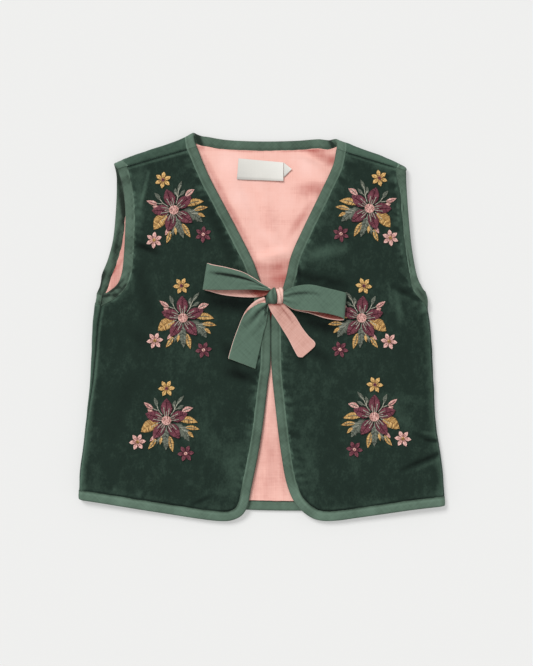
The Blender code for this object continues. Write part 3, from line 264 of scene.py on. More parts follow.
BIAS = math.radians(45)
WHITE = (1, 1, 1, 1)
FLOOR_GREY = (188, 188, 187)
SHADES = {  # each cloth or thread: deepest, middle and lightest, which carry its painted shade and painted light as well as its own uneven colour
    "velvet": ((14, 21, 18), (33, 47, 40), (76, 99, 85)),
    "binding_green": ((34, 46, 38), (77, 97, 83), (103, 127, 111)),
    "ribbon_green": ((26, 38, 31), (86, 109, 94), (106, 133, 116)),
    "lining_pink": ((162, 58, 50), (243, 189, 176), (255, 215, 206)),
    "ribbon_pink": ((126, 60, 52), (207, 158, 145), (238, 196, 184)),
    "burgundy": ((72, 28, 40), (108, 50, 63), (134, 76, 86)),
    "mustard": ((120, 84, 46), (196, 153, 90), (236, 198, 130)),
    "pink": ((140, 92, 86), (212, 158, 148), (246, 206, 196)),
    "leaf": ((62, 68, 59), (97, 103, 91), (124, 130, 116)),
    "stem": ((112, 114, 100), (156, 156, 140), (186, 184, 168)),
    "label": ((180, 178, 172), (218, 216, 209), (238, 237, 231)),
}


def linear(channel):
    """An sRGB channel of 0 to 255 as a linear value."""
    value = channel / 255
    return value / 12.92 if value <= 0.04045 else ((value + 0.055) / 1.055) ** 2.4


def colour_of(channels):
    return (*(linear(channel) for channel in channels), 1)


# Curves in the plane


def curve(points, per_stretch=16):
    """A smooth curve through the points, of any number of columns, finely sampled."""
    points = np.asarray(points, float)
    chords = np.linalg.norm(np.diff(points, axis=0), axis=1)
    at = np.concatenate([[0], np.cumsum(np.sqrt(chords))])
    slopes = np.gradient(points, at, axis=0)
    samples = []
    for i in range(len(points) - 1):
        span = at[i + 1] - at[i]
        t = np.linspace(0, 1, per_stretch, endpoint=False)[:, None]
        samples.append(
            (2 * t**3 - 3 * t**2 + 1) * points[i]
            + (t**3 - 2 * t**2 + t) * span * slopes[i]
            + (3 * t**2 - 2 * t**3) * points[i + 1]
            + (t**3 - t**2) * span * slopes[i + 1]
        )
    return np.concatenate([*samples, points[-1:]])


def column(table, value, index):
    """Column `index` of a table, smoothed, at each value of the table's first column."""
    fine = curve([(row[0], row[index]) for row in table])
    return np.interp(value, fine[:, 0], fine[:, 1])


def walk(path):
    """The distance along a path at each of its points."""
    return np.concatenate([[0], np.cumsum(np.linalg.norm(np.diff(path, axis=0), axis=1))])


def spaced(path, step):
    """A path sampled again at an even step."""
    at = walk(path)
    even = np.linspace(0, at[-1], max(2, round(at[-1] / step) + 1))
    return np.stack([np.interp(even, at, path[:, i]) for i in range(path.shape[1])], axis=1)


def nearest(points, path, step=1.5):
    """How far each point is from a path, and how far along the path its nearest place is."""
    samples = spaced(np.asarray(path, float), step)
    at = walk(samples)
    found = []
    for start in range(0, len(points), NEAREST_CHUNK):
        chunk = points[start : start + NEAREST_CHUNK]
        gaps = ((chunk[:, None] - samples[None]) ** 2).sum(-1)
        closest = gaps.argmin(axis=1)
        best = np.sqrt(gaps[np.arange(len(chunk)), closest])
        for beside in (-1, 1):
            other = np.clip(closest + beside, 0, len(samples) - 1)
            step_to = samples[other] - samples[closest]
            size = np.maximum((step_to**2).sum(-1), 1e-9)
            share = np.clip(((chunk - samples[closest]) * step_to).sum(-1) / size, 0, 1)
            gap = np.linalg.norm(chunk - samples[closest] - share[:, None] * step_to, axis=1)
            best = np.minimum(best, gap)
        found.append((best, at[closest]))
    return [np.concatenate(part) for part in zip(*found)]


def inside(points, outline):
    """Which points lie inside a closed outline."""
    x, y = points.T
    result = np.zeros(len(points), bool)
    for (x0, y0), (x1, y1) in zip(outline, np.roll(outline, -1, axis=0)):
        if y0 != y1:
            crosses = (y0 > y) != (y1 > y)
            result ^= crosses & (x < x0 + (y - y0) * (x1 - x0) / (y1 - y0))
    return result


def ramp(value, low, high):
    """0 below low, 1 above high and smooth between."""
    t = np.clip((value - low) / (high - low), 0, 1)
    return t * t * (3 - 2 * t)


def bell(value, middle, width):
    """1 at the middle, fading softly to each side."""
    return np.exp(-(((value - middle) / width) ** 2))


def blended(grid, low, high, t):
    """A grid's value between two corners of a cell, at the share t of the way from low to high."""
    near, far = (grid[low[:, 0], end[:, 1]] * (1 - t[:, 0]) + grid[high[:, 0], end[:, 1]] * t[:, 0]
                 for end in (low, high))
    return near * (1 - t[:, 1]) + far * t[:, 1]


def uneven(points, scale, seed):
    """Smooth unevenness between -1 and 1 over the plane, with swells about `scale` across."""
    rng = np.random.default_rng(SEED * 1000 + seed)
    grid = rng.uniform(-1, 1, (64, 64))
    place = np.asarray(points, float) / scale + 200.5
    cell = np.floor(place).astype(int)
    t = place - cell
    return blended(grid, cell % 64, (cell + 1) % 64, t * t * (3 - 2 * t))


def uneven_along(at, scale, seed):
    """Smooth unevenness between -1 and 1 along a line."""
    return uneven(np.column_stack([at, np.full(len(at), seed * 7.3)]), scale, seed)


# Surfaces that the panels lie on


def shoulder_frame(side):
    slope = SHOULDER_SLOPE[side]
    along = np.array([math.cos(slope), math.sin(slope)])
    over = np.array([-math.sin(slope), math.cos(slope)])
    return along, over, curve(SHOULDER[side])


def outline_x(y, side):
    return column(SIDE_OUTLINE, y, 1 if side < 0 else 2)


def past_fold(points):
    """How far each point of the flat cut lies past its fold's centre line, and the way over it."""
    points = np.asarray(points, float)
    beyond, over = np.empty(len(points)), np.empty((len(points), 2))
    for side, here in ((LEFT, points[:, 0] < 0), (RIGHT, points[:, 0] >= 0)):
        above = points[:, 1] >= SHOULDERS_FROM_Y
        low, high = here & ~above, here & above
        beyond[low] = points[low, 0] * side - side * outline_x(points[low, 1], side) + FOLD_RADIUS
        over[low] = (side, 0)
        along, way, line = shoulder_frame(side)
        crest = np.interp(points[high] @ along, line @ along, line @ way)
        beyond[high] = points[high] @ way - crest + FOLD_RADIUS
        over[high] = way
    return beyond, over


def rolled(points, turned_up):
    """Points of a flat cut rolled over their folds, with outward normals. The cut starts on top
    and rolls down, or starts underneath and is turned up."""
    points = np.asarray(points, float)
    beyond, over = past_fold(points)
    angle = np.clip(beyond / FOLD_RADIUS, 0, math.pi)
    reach = np.where(beyond <= 0, beyond, FOLD_RADIUS * np.sin(angle))
    reach -= np.maximum(beyond - math.pi * FOLD_RADIUS, 0)
    plan = points + over * (reach - beyond)[:, None]
    up = -1 if turned_up else 1
    height = FOLD_RADIUS * (1 + up * np.cos(angle))
    normals = np.column_stack([over * np.sin(angle)[:, None], up * np.cos(angle)])
    return np.column_stack([plan, height]), normals


def back_surface(points):
    return rolled(points, turned_up=True)


def front_surface(points):
    """The fronts' top. Where a front hangs past the back's hem, it droops to what it lies on."""
    placed, normals = rolled(points, turned_up=False)
    hem = curve(BACK_HEM[::-1])
    past_hem = np.interp(placed[:, 0], hem[:, 0], hem[:, 1]) - placed[:, 1]
    droop = HEM_DROOP * ramp(past_hem, -8, 15) * (1 - ramp(np.abs(placed[:, 0]), 80, 152))
    placed[:, 2] -= droop
    return placed, normals


def unfold(point):
    """The place on the back's flat cut of a point (x, y) seen on top, past the fold."""
    point = np.asarray([point], float)
    beyond, over = past_fold(point)
    top_half = np.arccos(np.clip(beyond / FOLD_RADIUS, 0, 1)) * FOLD_RADIUS
    arc = np.where(beyond > 0, FOLD_RADIUS * math.pi / 2 + top_half, FOLD_RADIUS * math.pi - beyond)
    return tuple((point + over * (arc - beyond)[:, None])[0])


def side_seam(side, y, on_back):
    """The side seam's place on the flat cut of a front or the back, at a height up the side."""
    inset_by = float(column(SIDE_SEAM_INSET, y, 1 if side < 0 else 2))
    past = FOLD_RADIUS - inset_by
    if past > 0:
        past = FOLD_RADIUS * math.asin(past / FOLD_RADIUS)
    if on_back:
        past = math.pi * FOLD_RADIUS - past - SEAM_GAP
    return side * (side * float(outline_x(y, side)) - FOLD_RADIUS + past), y


# Bound edges


def band(surface, start, points, end):
    """A bound edge: places along its fold, with the way from each into the panel on the right,
    and the distance along the edge. start and end are its place and that way at a seam."""
    fine = curve((start[0], *points, end[0]))
    path = surface(fine)[0]
    at = walk(path)
    even = np.linspace(0, at[-1], round(at[-1] / BINDING_STEP) + 1)
    edge = np.stack([np.interp(even, at, fine[:, i]) for i in (0, 1)], axis=1)
    along = np.gradient(edge, axis=0)
    along /= np.linalg.norm(along, axis=1, keepdims=True)
    inward = np.column_stack([along[:, 1], -along[:, 0]])
    # The way turns to the seam's own over the last few millimetres.
    for index, (_, way) in ((0, start), (-1, end)):
        way = np.asarray(way, float) / np.linalg.norm(way)
        reach = 3.0 if way @ inward[index] > 0.8 else 6.0
        share = 1 - ramp(np.abs(even - even[index]), 0, reach)[:, None]
        inward = inward * (1 - share) + way / max(way @ inward[index], 0.5) * share
    return edge, inward, even


def inset(edge_band, distance):
    return edge_band[0] + edge_band[1] * distance


def side_end(side, y, on_back, rise):
    """A bound edge's place on a side seam, and the seam's way from there."""
    place = side_seam(side, y, on_back)
    return place, np.subtract(side_seam(side, y + rise, on_back), place)


def straight(start, end, step):
    count = max(1, round(math.dist(start, end) / step))
    share = np.linspace(0, 1, count + 1)[:, None]
    return np.asarray(start) * (1 - share) + np.asarray(end) * share


def back_seam(side):
    """A shoulder seam on the back's flat cut, moved clear of the front."""
    seam = SHOULDER_SEAM[side]
    _, over = past_fold(seam)
    return np.array([unfold(point) for point in straight(*seam, 3.0) + over[0] * SEAM_GAP])


def front_cut(side):
    """A front's bound edges, from the shoulder to the hem's end and round its armhole, and its
    cut: the outline, clockwise, with the bound edges run on and the seams to measure from."""
    seam = SHOULDER_SEAM[side]
    ends = [(seam[k], np.subtract(seam[1 - k], seam[k])) for k in (0, 1)]
    at_neck, at_arm = ends[::side]
    at_hem = side_end(side, HEM_Y[side], False, BINDING_WIDTH)
    at_underarm = side_end(side, UNDERARM_Y[side], False, -BINDING_WIDTH)
    bands = []
    for path, first, last in (
        (FRONT_EDGE[side], at_neck, at_hem), (FRONT_ARMHOLE[side], at_underarm, at_arm),
    ):
        start, end = (first, last)[::-side]
        bands.append(band(front_surface, start, path, end))
    after = [side_stations(side, False), straight(*seam, 3.0)][::-side]
    seams = [seam_path(bands[i], after[i], bands[1 - i]) for i in (0, 1)]
    edges = [inset(item, RAW_EDGE_INSET) for item in bands]
    outline = outline_of(edges[0], seams[0], edges[1], seams[1])
    return bands, (outline, [run_on(item) for item in bands], seams[::-side])


def back_bands():
    """The back's bound edges: left armhole, neck, right armhole and hem."""
    (left_arm, left_neck), (right_neck, right_arm) = (
        [(seam[end], seam[near] - seam[end]) for end, near in ((0, 3), (-1, -4))]
        for seam in (back_seam(LEFT), back_seam(RIGHT))
    )
    underarm = {side: side_end(side, y, True, -BINDING_WIDTH) for side, y in UNDERARM_Y.items()}
    hem = {side: side_end(side, y, True, BINDING_WIDTH) for side, y in HEM_Y.items()}
    neck = (unfold(PAST_LEFT_NECK), *BACK_NECK, unfold(PAST_RIGHT_NECK))
    paths = (
        (underarm[LEFT], (*LEFT_BACK_ARMHOLE, unfold(PAST_LEFT_ARM)), left_arm),
        (left_neck, neck, right_neck),
        (right_arm, RIGHT_BACK_ARMHOLE, underarm[RIGHT]),
        (hem[RIGHT], BACK_HEM, hem[LEFT]),
    )
    return [band(back_surface, *path) for path in paths]


def run_on(edge_band):
    """A bound edge run on straight past both of its seams, to measure from."""
    edge = edge_band[0]
    ends = []
    for end, near in ((edge[0], edge[2]), (edge[-1], edge[-3])):
        ends.append(end + (end - near) / math.dist(end, near) * RUN_ON)
    return np.array([ends[0], *edge, ends[1]])


def side_stations(side, on_back):
    """The side seam, clockwise round the cut."""
    return np.array([side_seam(side, y, on_back) for y in np.arange(*SIDE_SEAM_YS)])[::-side]


def seam_path(before, middle, after):
    """A seam's edge of a cut, from the end of one bound edge to the start of the next."""
    start, end = inset(before, RAW_EDGE_INSET)[-1], inset(after, RAW_EDGE_INSET)[0]
    way = end - start
    share = (np.asarray(middle) - start) @ way / (way @ way)
    return np.array([start, *np.asarray(middle)[(share > 0.02) & (share < 0.98)], end])


# Meshes


def shell_faces(rows, width):
    """Faces of a thin shell whose two skins are grids, as pairs of an upper and a lower face and
    then the rim's, and the ring of points round the upper skin."""
    size = rows * width
    faces = []
    for a in (i * width + j for i in range(rows - 1) for j in range(width - 1)):
        b, c, d = a + 1, a + width + 1, a + width
        faces += [(a, d, c, b), (a + size, b + size, c + size, d + size)]
    ring = [i * width for i in range(rows)] + [size - width + j for j in range(1, width)]
    ring += [i * width - 1 for i in range(rows - 1, 0, -1)] + list(range(width - 2, 0, -1))
    return faces + [(a, a + size, b + size, b) for a, b in zip(ring, ring[1:] + ring[:1])], ring


def raised(plan, height):
    """Points of a plan at their heights."""
    return np.concatenate([plan, height[..., None]], axis=-1)


def rod_faces(rings, width):
    """Faces of a rod through rings of points, closed at its ends."""
    faces = [
        tuple(i * width + k for k in (j, (j + 1) % width, width + (j + 1) % width, width + j))
        for i in range(rings - 1) for j in range(width)
    ]
    return [*faces, tuple(range(width))[::-1], tuple(range((rings - 1) * width, rings * width))]


def new_piece(name, points, faces, finishes, nodes, tone, indices=None, tone_name="tone"):
    """A piece with a tone for each of its points, which its finish reads. It moves with the
    garment and stands for its plain solids."""
    mesh = bpy.data.meshes.new(name)
    faces = [tuple(int(i) for i in face) for face in faces]
    mesh.from_pydata((np.asarray(points) * MM).tolist(), [], faces)
    for finish in finishes:
        mesh.materials.append(finish)
    if indices is not None:
        mesh.polygons.foreach_set("material_index", np.asarray(indices, np.int32))
    mesh.update()
    mesh.shade_smooth()
    mesh.set_sharp_from_angle(angle=SHARP_ANGLE)
    tones = mesh.attributes.new(tone_name, "FLOAT", "POINT")
    tones.data.foreach_set("value", np.asarray(tone, np.float32).reshape(-1))
    made = link(name, mesh)
    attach(made, "root")
    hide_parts(*nodes)
    return made


def link(name, data):
    made = bpy.data.objects.new(name, data)
    bpy.context.scene.collection.objects.link(made)
    return made


def outline_of(*parts):
    """One closed outline from paths laid end to end, evenly sampled."""
    points = []
    for part in parts:
        points.extend(spaced(np.asarray(part, float), EDGE_STEP)[:-1])
        points.append(part[-1])
    kept = [points[0]]
    for point in points[1:]:
        if math.dist(point, kept[-1]) > LEAST_EDGE:
            kept.append(point)
    while math.dist(kept[0], kept[-1]) <= LEAST_EDGE:
        kept.pop()
    return np.array(kept)


def lattice(outline, step, least, low=0.0, high=1e9, near=None):
    """An even lattice inside an outline, kept to a range of distances from it."""
    start, end = outline.min(axis=0), outline.max(axis=0)
    rows = []
    for j, y in enumerate(np.arange(start[1] + step / 2, end[1], step * 0.87)):
        xs = np.arange(start[0] + (step / 2 if j % 2 else 0), end[0], step)
        rows.append(np.column_stack([xs, np.full(len(xs), y)]))
    points = np.concatenate(rows)
    points = points[inside(points, outline)]
    closed = np.concatenate([outline, outline[:1]])
    away, _ = nearest(points, closed)
    zone, _ = nearest(points, near) if near is not None else (away, None)
    return points[(away > least) & (zone >= low) & (zone < high)]


def triangulated(outline, points):
    """Points and faces of a flat cut."""
    count = len(outline)
    flat = [Vector(point) for point in (*outline, *points)]
    edges = [(i, (i + 1) % count) for i in range(count)]
    vertices, _, faces, *_ = delaunay_2d_cdt(flat, edges, [], 1, 1e-5)
    return np.array([tuple(v) for v in vertices]), [tuple(face) for face in faces]


def rim_edges(faces):
    """The edges that only one face has, in that face's direction."""
    found = {}
    for face in faces:
        for edge in zip(face, (*face[1:], face[0])):
            key = (min(edge), max(edge))
            found[key] = None if key in found else edge
    return [edge for edge in found.values() if edge]


def closed_skins(outer, inner, count):
    """Faces of an outer skin, an inner one turned over and the rim between, and the rim's count."""
    turned = [tuple(index + count for index in reversed(face)) for face in inner]
    rim = [(b, a, a + count, b + count) for a, b in rim_edges(outer)]
    return outer + turned + rim, len(rim)


def lay_down(outline):
    """Takes a piece's flat outline as an array, and does nothing more with it."""
    outline = np.asarray(outline)


def measured(points, bound, seams=()):
    """Each point's distance from, and place along, every bound edge and seam of its panel."""
    return [[nearest(points, path, 1.0) for path in paths] for paths in (bound, seams)]


def from_edges(spans):
    """The distance from the nearest bound edge or seam."""
    return np.min([away for away, _ in (*spans[0], *spans[1])], axis=0)


def build_quilted(name, node, cut, step, surface, shape, finishes, seed):
    """A quilted panel: a fine outer skin and a coarser inner one, joined round the cut edge.
    cut is the outline, its bound edges and its seams, and shape gives the relief and the wall."""
    outline, *edges = cut
    flat, faces = triangulated(outline, panel_points(outline, step))
    spans = measured(flat, *edges)
    placed, normals = surface(flat)
    outer = placed + normals * shape(flat, spans)[0][:, None]
    # The outer skin's tone: painted sheen and painted shade on the pile
    tone = pile_sheen_and_shade(flat, spans, seed, 0.5 if surface is front_surface else 0.1)
    coarse, inner_faces = triangulated(outline, lattice(outline, INNER_STEP, INNER_STEP * 0.6))
    placed, inner_normals = surface(coarse)
    relief, wall = shape(coarse, measured(coarse, *edges))
    inner = placed + inner_normals * (relief - wall)[:, None]
    if np.median(normals[:, 2]) < 0:
        faces, inner_faces = ([face[::-1] for face in skin] for skin in (faces, inner_faces))
    made_faces, rim = closed_skins(faces, inner_faces, len(flat))
    indices = [0] * len(faces) + [1] * len(inner_faces) + [0] * rim
    made = new_piece(
        f"{name}_velvet", np.concatenate([outer, inner]), made_faces, finishes, [node],
        np.concatenate([tone, np.zeros(len(coarse))]), indices, "pile_sheen_and_shade",
    )
    lay_down(outline)


def beside_hem(points):
    return ramp(-points[:, 1], *HEM_ZONE)


def pressed(spans, open_share=0.0, rise=SNUG):
    """0 where a binding presses a panel flat, 1 where it is free, and the ditch along its seams."""
    low, high = (rise[i] + (OPEN[i] - SNUG[i]) * open_share for i in (0, 1))
    free = np.min([ramp(away, low, high) for away, _ in spans[0]], axis=0)
    ditches = [(1 - ramp(away, 0, SEAM_DITCH_WIDTH)) ** 1.5 for away, _ in spans[1]]
    return free, np.max([np.zeros(len(free)), *ditches], axis=0)


def creased(points, table):
    depth = np.zeros(len(points))
    for x0, y0, x1, y1, half, deep in table:
        start, step = np.array([x0, y0]), np.array([x1 - x0, y1 - y0], float)
        share = np.clip((points - start) @ step / (step @ step), 0, 1)
        away = np.linalg.norm(points - start - share[:, None] * step, axis=1)
        fade = 1 - 0.5 * np.abs(2 * share - 1) ** 2
        depth += deep * fade * (1 - ramp(away, 0, half))
    return depth


def strokes(points, table):
    """A soft tone from a table of strokes."""
    return -creased(points, [(*row[:5], -row[5]) for row in table])


def gathers(spans, seed):
    """Small uneven puckers that run in from the stitching of each bound edge."""
    rise = np.zeros(len(spans[0][0][0]))
    for number, (away, along) in enumerate(spans[0]):
        reach = 22 + 7 * uneven_along(along, 31, seed)
        beside = ramp(away, 8.5, 11.5) * (1 - ramp(away, 12, reach))
        bend = along + 3.0 * uneven_along(along, 17, seed + 1) + (away - 10) * 0.25
        wave = np.cos(bend * 2 * math.pi / 8.5) * 0.6 + uneven_along(bend, 4.2, seed + 2 + number)
        strength = 0.5 + 0.5 * uneven_along(along, 40, seed + 5 + number)
        rise += 0.5 * wave * strength * beside
    return rise


# Where the pile takes painted sheen and painted shade beside a bound edge or a seam: how far in,
# and how wide
ROLL_SHEEN, STITCHING_SHEEN, BESIDE_SHEEN, DITCH_SHADE = (12.4, 3.4), (10, 1), (8, 1.8), (9.9, 0.7)
SEAM_RIDGE_HIGHLIGHT, SEAM_LINE_SHADE, EDGE_ROLL = (2.2, 0.9), (0, 0.8), (15.5, 4)


def pile_sheen_and_shade(points, spans, seed, ridge):
    """The pile's tone: painted sheen where a panel rolls away or rises, painted shade in its
    ditches and dips, and its own uneven tone.
    """
    tone = np.zeros(len(points))
    low = beside_hem(points)
    for number, (away, along) in enumerate(spans[0]):
        # Painted sheen on the roll beside each bound edge, in beads by the stitching and in a band
        # beside it, and painted shade in the ditch along the hem
        roll = 0.55 + 0.45 * uneven_along(along, 19, seed + 20 + number)
        stitch = np.maximum(uneven_along(along, 2.4, seed + 50 + number), 0)
        ditch = 0.75 + 0.7 * uneven_along(along, 22, seed + 40 + number)
        tone += 0.24 * roll * bell(away, *ROLL_SHEEN) - ditch * bell(away, *DITCH_SHADE) * low
        beside = 1.1 * stitch * bell(away, *STITCHING_SHEEN) + 0.45 * bell(away, *BESIDE_SHEEN)
        tone += beside * (1 - low)
    # Along each seam a painted highlight on its ridge, of the given strength, and painted shade in
    # its groove
    for away, _ in spans[1]:
        tone += ridge * bell(away, *SEAM_RIDGE_HIGHLIGHT) - 0.5 * bell(away, *SEAM_LINE_SHADE)
    # Painted sheen where a panel rolls over its folds, and painted light on the shoulders' tops,
    # most on the right
    turned, _ = past_fold(points)
    on_right = points[:, 0] > 0
    tone += 0.5 * ramp(turned, -4.5, 1.5) * (1 - 0.4 * on_right)
    tone += ramp(turned, 8, 12) * (points[:, 1] > SHOULDERS_FROM_Y) * np.where(on_right, 0.7, 0.12)
    # Painted shade and painted sheen in strokes, then the pile's own uneven tone
    tone += strokes(points, PILE_SHEEN_AND_SHADE_STROKES)
    tone += 0.06 * uneven(points, 24, seed + 30) + 0.05 * uneven(points, 8, seed + 31)
    tone += 0.1 * uneven(points * (1, 0.6), 3.0, seed + 32)
    # Painted light and shade that follow the puckers' rises and dips, less near the hem
    tone += 0.8 * gathers(spans, seed + 10) * (1 - 0.75 * low)
    return np.clip(tone, -1, 1)


def front_rise(points, spans):
    """The soft form of a front, without its small puckers."""
    free, ditch = pressed(spans, beside_hem(points))
    away = from_edges(spans)
    rise = FRONT_PUFF * ramp(away, 8, 38) + 0.45 * bell(away, *EDGE_ROLL) * free
    rise -= creased(points, FRONT_CREASES) * ramp(away, 10, 22)
    return rise - PRESSED_SINK * (1 - free) - SEAM_DITCH * ditch, free


def front_shape(seed):
    def shape(points, spans):
        relief, free = front_rise(points, spans)
        relief = relief - creased(points, FRONT_PUCKERS) * free
        swell = 0.28 * uneven(points, 33, seed) + 0.16 * uneven(points, 15, seed + 1)
        relief = relief + gathers(spans, seed + 10) * (1 - 0.75 * beside_hem(points)) + swell * free
        full = PANEL_WALL + (PUFFED_WALL - PANEL_WALL) * ramp(from_edges(spans), 16, 38)
        return relief, PRESSED_WALL + (full - PRESSED_WALL) * free

    return shape


def back_shape(seed):
    def shape(points, spans):
        free, ditch = pressed(spans)
        turned, _ = past_fold(points)
        on_top = ramp(turned, 2, 6)
        rough = gathers(spans, seed) * 0.7 + 0.22 * uneven(points, 9, seed + 1) * free
        rough += 0.2 * uneven(points, 21, seed + 2) * free
        rough = rough * on_top + np.minimum(rough, 0) * (1 - on_top)
        relief = rough - PRESSED_SINK * (1 - free) - SEAM_DITCH * ditch
        return relief, PRESSED_WALL + (PANEL_WALL - PRESSED_WALL) * free

    return shape


def panel_points(outline, step):
    """A lattice that is finer beside the cut's edge."""
    closed = np.concatenate([outline, outline[:1]])
    near = lattice(outline, CLOSE_STEP, 0.7, 0, CLOSE_TO, closed)
    return np.concatenate([near, lattice(outline, step, 0.7, CLOSE_TO, 1e9, closed)])


def build_front(side, finishes, ground):
    name, seed = ("front_left", 100) if side < 0 else ("front_right", 200)
    bands, cut = front_cut(side)
    shape = front_shape(seed)
    build_quilted(name, name, cut, FRONT_STEP, front_surface, shape, finishes, seed)
    ground.add(*cut, shape)
    return bands


def build_back(bands, finishes):
    between = (
        back_seam(LEFT), back_seam(RIGHT), side_stations(RIGHT, True), side_stations(LEFT, True),
    )
    seams = [seam_path(bands[i], between[i], bands[(i + 1) % 4]) for i in range(4)]
    edges = [inset(item, RAW_EDGE_INSET) for item in bands]
    outline = outline_of(*(path for pair in zip(edges, seams) for path in pair))
    cut = outline, [run_on(item) for item in bands], seams
    shape = back_shape(300)
    build_quilted(
        "back", "back_panel", cut, BACK_STEP, back_surface, shape, finishes, 300
    )


def lining_height(points, bound):
    """The lining's upper face with its soft folds."""
    spans = measured(points, bound)
    free, _ = pressed(spans)
    deep = PRESSED_SINK + PRESSED_WALL
    top = deep + (PANEL_WALL - deep) * free + LINING_GAP + LINING_WALL
    folds = -creased(points, LINING_FOLDS)
    swell = 0.3 * uneven(points, 24, 401) + 0.14 * uneven(points, 9, 402)
    loose, _ = pressed(spans, rise=(BINDING_WIDTH, BINDING_WIDTH + 9))
    return top + np.clip((folds + swell) * loose, -0.25, 3.0)


def beside_fold(side, shoulder):
    """The lining's edge along a fold, clockwise: up the left side, or down the right."""
    if shoulder:
        along, over, line = shoulder_frame(side)
        start, end = np.asarray(SHOULDER_SEAM[side]) @ along
        between = (line @ along > start + BINDING_WIDTH) & (line @ along < end - BINDING_WIDTH)
        return line[between] - over * (FOLD_RADIUS + LINING_INSET)
    heights = np.arange(-152, 8, 5.0)
    x = outline_x(heights, side) - side * (FOLD_RADIUS + LINING_INSET)
    return np.column_stack([x, heights])[::-side]


def build_lining(bands, finish):
    paths = []
    for item, fold in zip(bands, ((LEFT, True), (RIGHT, True), (RIGHT, False), (LEFT, False))):
        path = inset(item, BINDING_WIDTH + 0.1)
        beyond, over = past_fold(path)
        paths += [path - over * np.maximum(beyond + LINING_INSET, 0)[:, None], beside_fold(*fold)]
    outline = outline_of(*paths)
    bound = [run_on(item) for item in bands]
    flat, faces = triangulated(outline, lattice(outline, LINING_STEP, 1.0))
    top = raised(flat, lining_height(flat, bound))
    points = np.concatenate([top, top - (0, 0, LINING_WALL)])
    # Painted shade and painted light from the strokes, and a little uneven tone of the cotton
    tone = strokes(flat, LINING_PAINTED_LIGHT_AND_SHADE) + 0.1 * uneven(flat, 13, 403) + 0.06 * uneven(flat, 4, 404)
    made_faces, _ = closed_skins(faces, faces, len(flat))
    made = new_piece(
        "back_lining_cotton", points, made_faces, [finish], ["back_lining"],
        np.tile(tone, 2),
    )
    lay_down(outline)
    return bound


# Bindings

# (distance in from the fold, depth) over the top, and underneath the other way up
BINDING_TOP = (
    (9.5, 0.95), (9.42, 0.35), (9.05, -0.12), (8.4, -0.1), (7.2, 0.02), (5.2, -0.1), (3.2, -0.06),
)
BINDING_UNDER = ((9.5, 1.1), (9.2, 0.7), (8.6, 0.36), (7.6, 0.1), (6.2, 0), (4.8, 0), (3.2, 0))
LIP_LIGHT_AND_SHADE = ((6.2, 0), (7.2, -0.3), (8.4, 0.2), (9, 0.6), (9.5, 0.6))  # painted light and shade across a binding's lip, by the same distance


def binding_section():
    """(distance in from the fold, depth) round a binding's outside, then back round its inside."""
    half = BINDING_HEIGHT / 2
    inner = half - BINDING_WALL

    def turn(radius, angles):
        return [(half - radius * math.sin(a), half - radius * math.cos(a)) for a in angles]

    under = [(distance, BINDING_HEIGHT - depth) for distance, depth in BINDING_UNDER[::-1]]
    within = [(9.1, half + inner - 0.5), (6, half + inner)]
    within += turn(inner, np.linspace(math.pi, 0, 5))
    within += [(6, half - inner), (9.1, half - inner + 0.5)]
    return [*BINDING_TOP, *turn(half, np.linspace(0.1, math.pi - 0.1, 9)), *under], within


BINDING_PAINTED_SHADOWS = (  # painted shadow where the back's bindings lie deep beside the fronts
    (-63, 186, -57, 170, 4.5, -1.8), (62, 184, 70, 166, 4, -1.5), (-137, 150, -130, 98, 4.6, -1.2),
    (-134, 100, -141, 62, 3.4, -1), (-149, 52, -156, 34, 3, -1.4),
)
CRUMPLE_PAINTED_SHADE = (  # painted shade in the folds of the fronts' bindings under the arms, with one painted highlight
    (-152, 36, -134, 37, 2.2, -1.3), (-158, 28, -138, 30, 2, -1.3), (-148, 28, -130, 45, 2, -1),
    (-141, 26, -128, 40, 1.8, -0.9), (-146, 34, -128, 52, 1.6, 0.5), (150, 44, 158, 30, 1.8, -0.7),
    (147, 36, 153, 28, 1.8, -0.7),
)


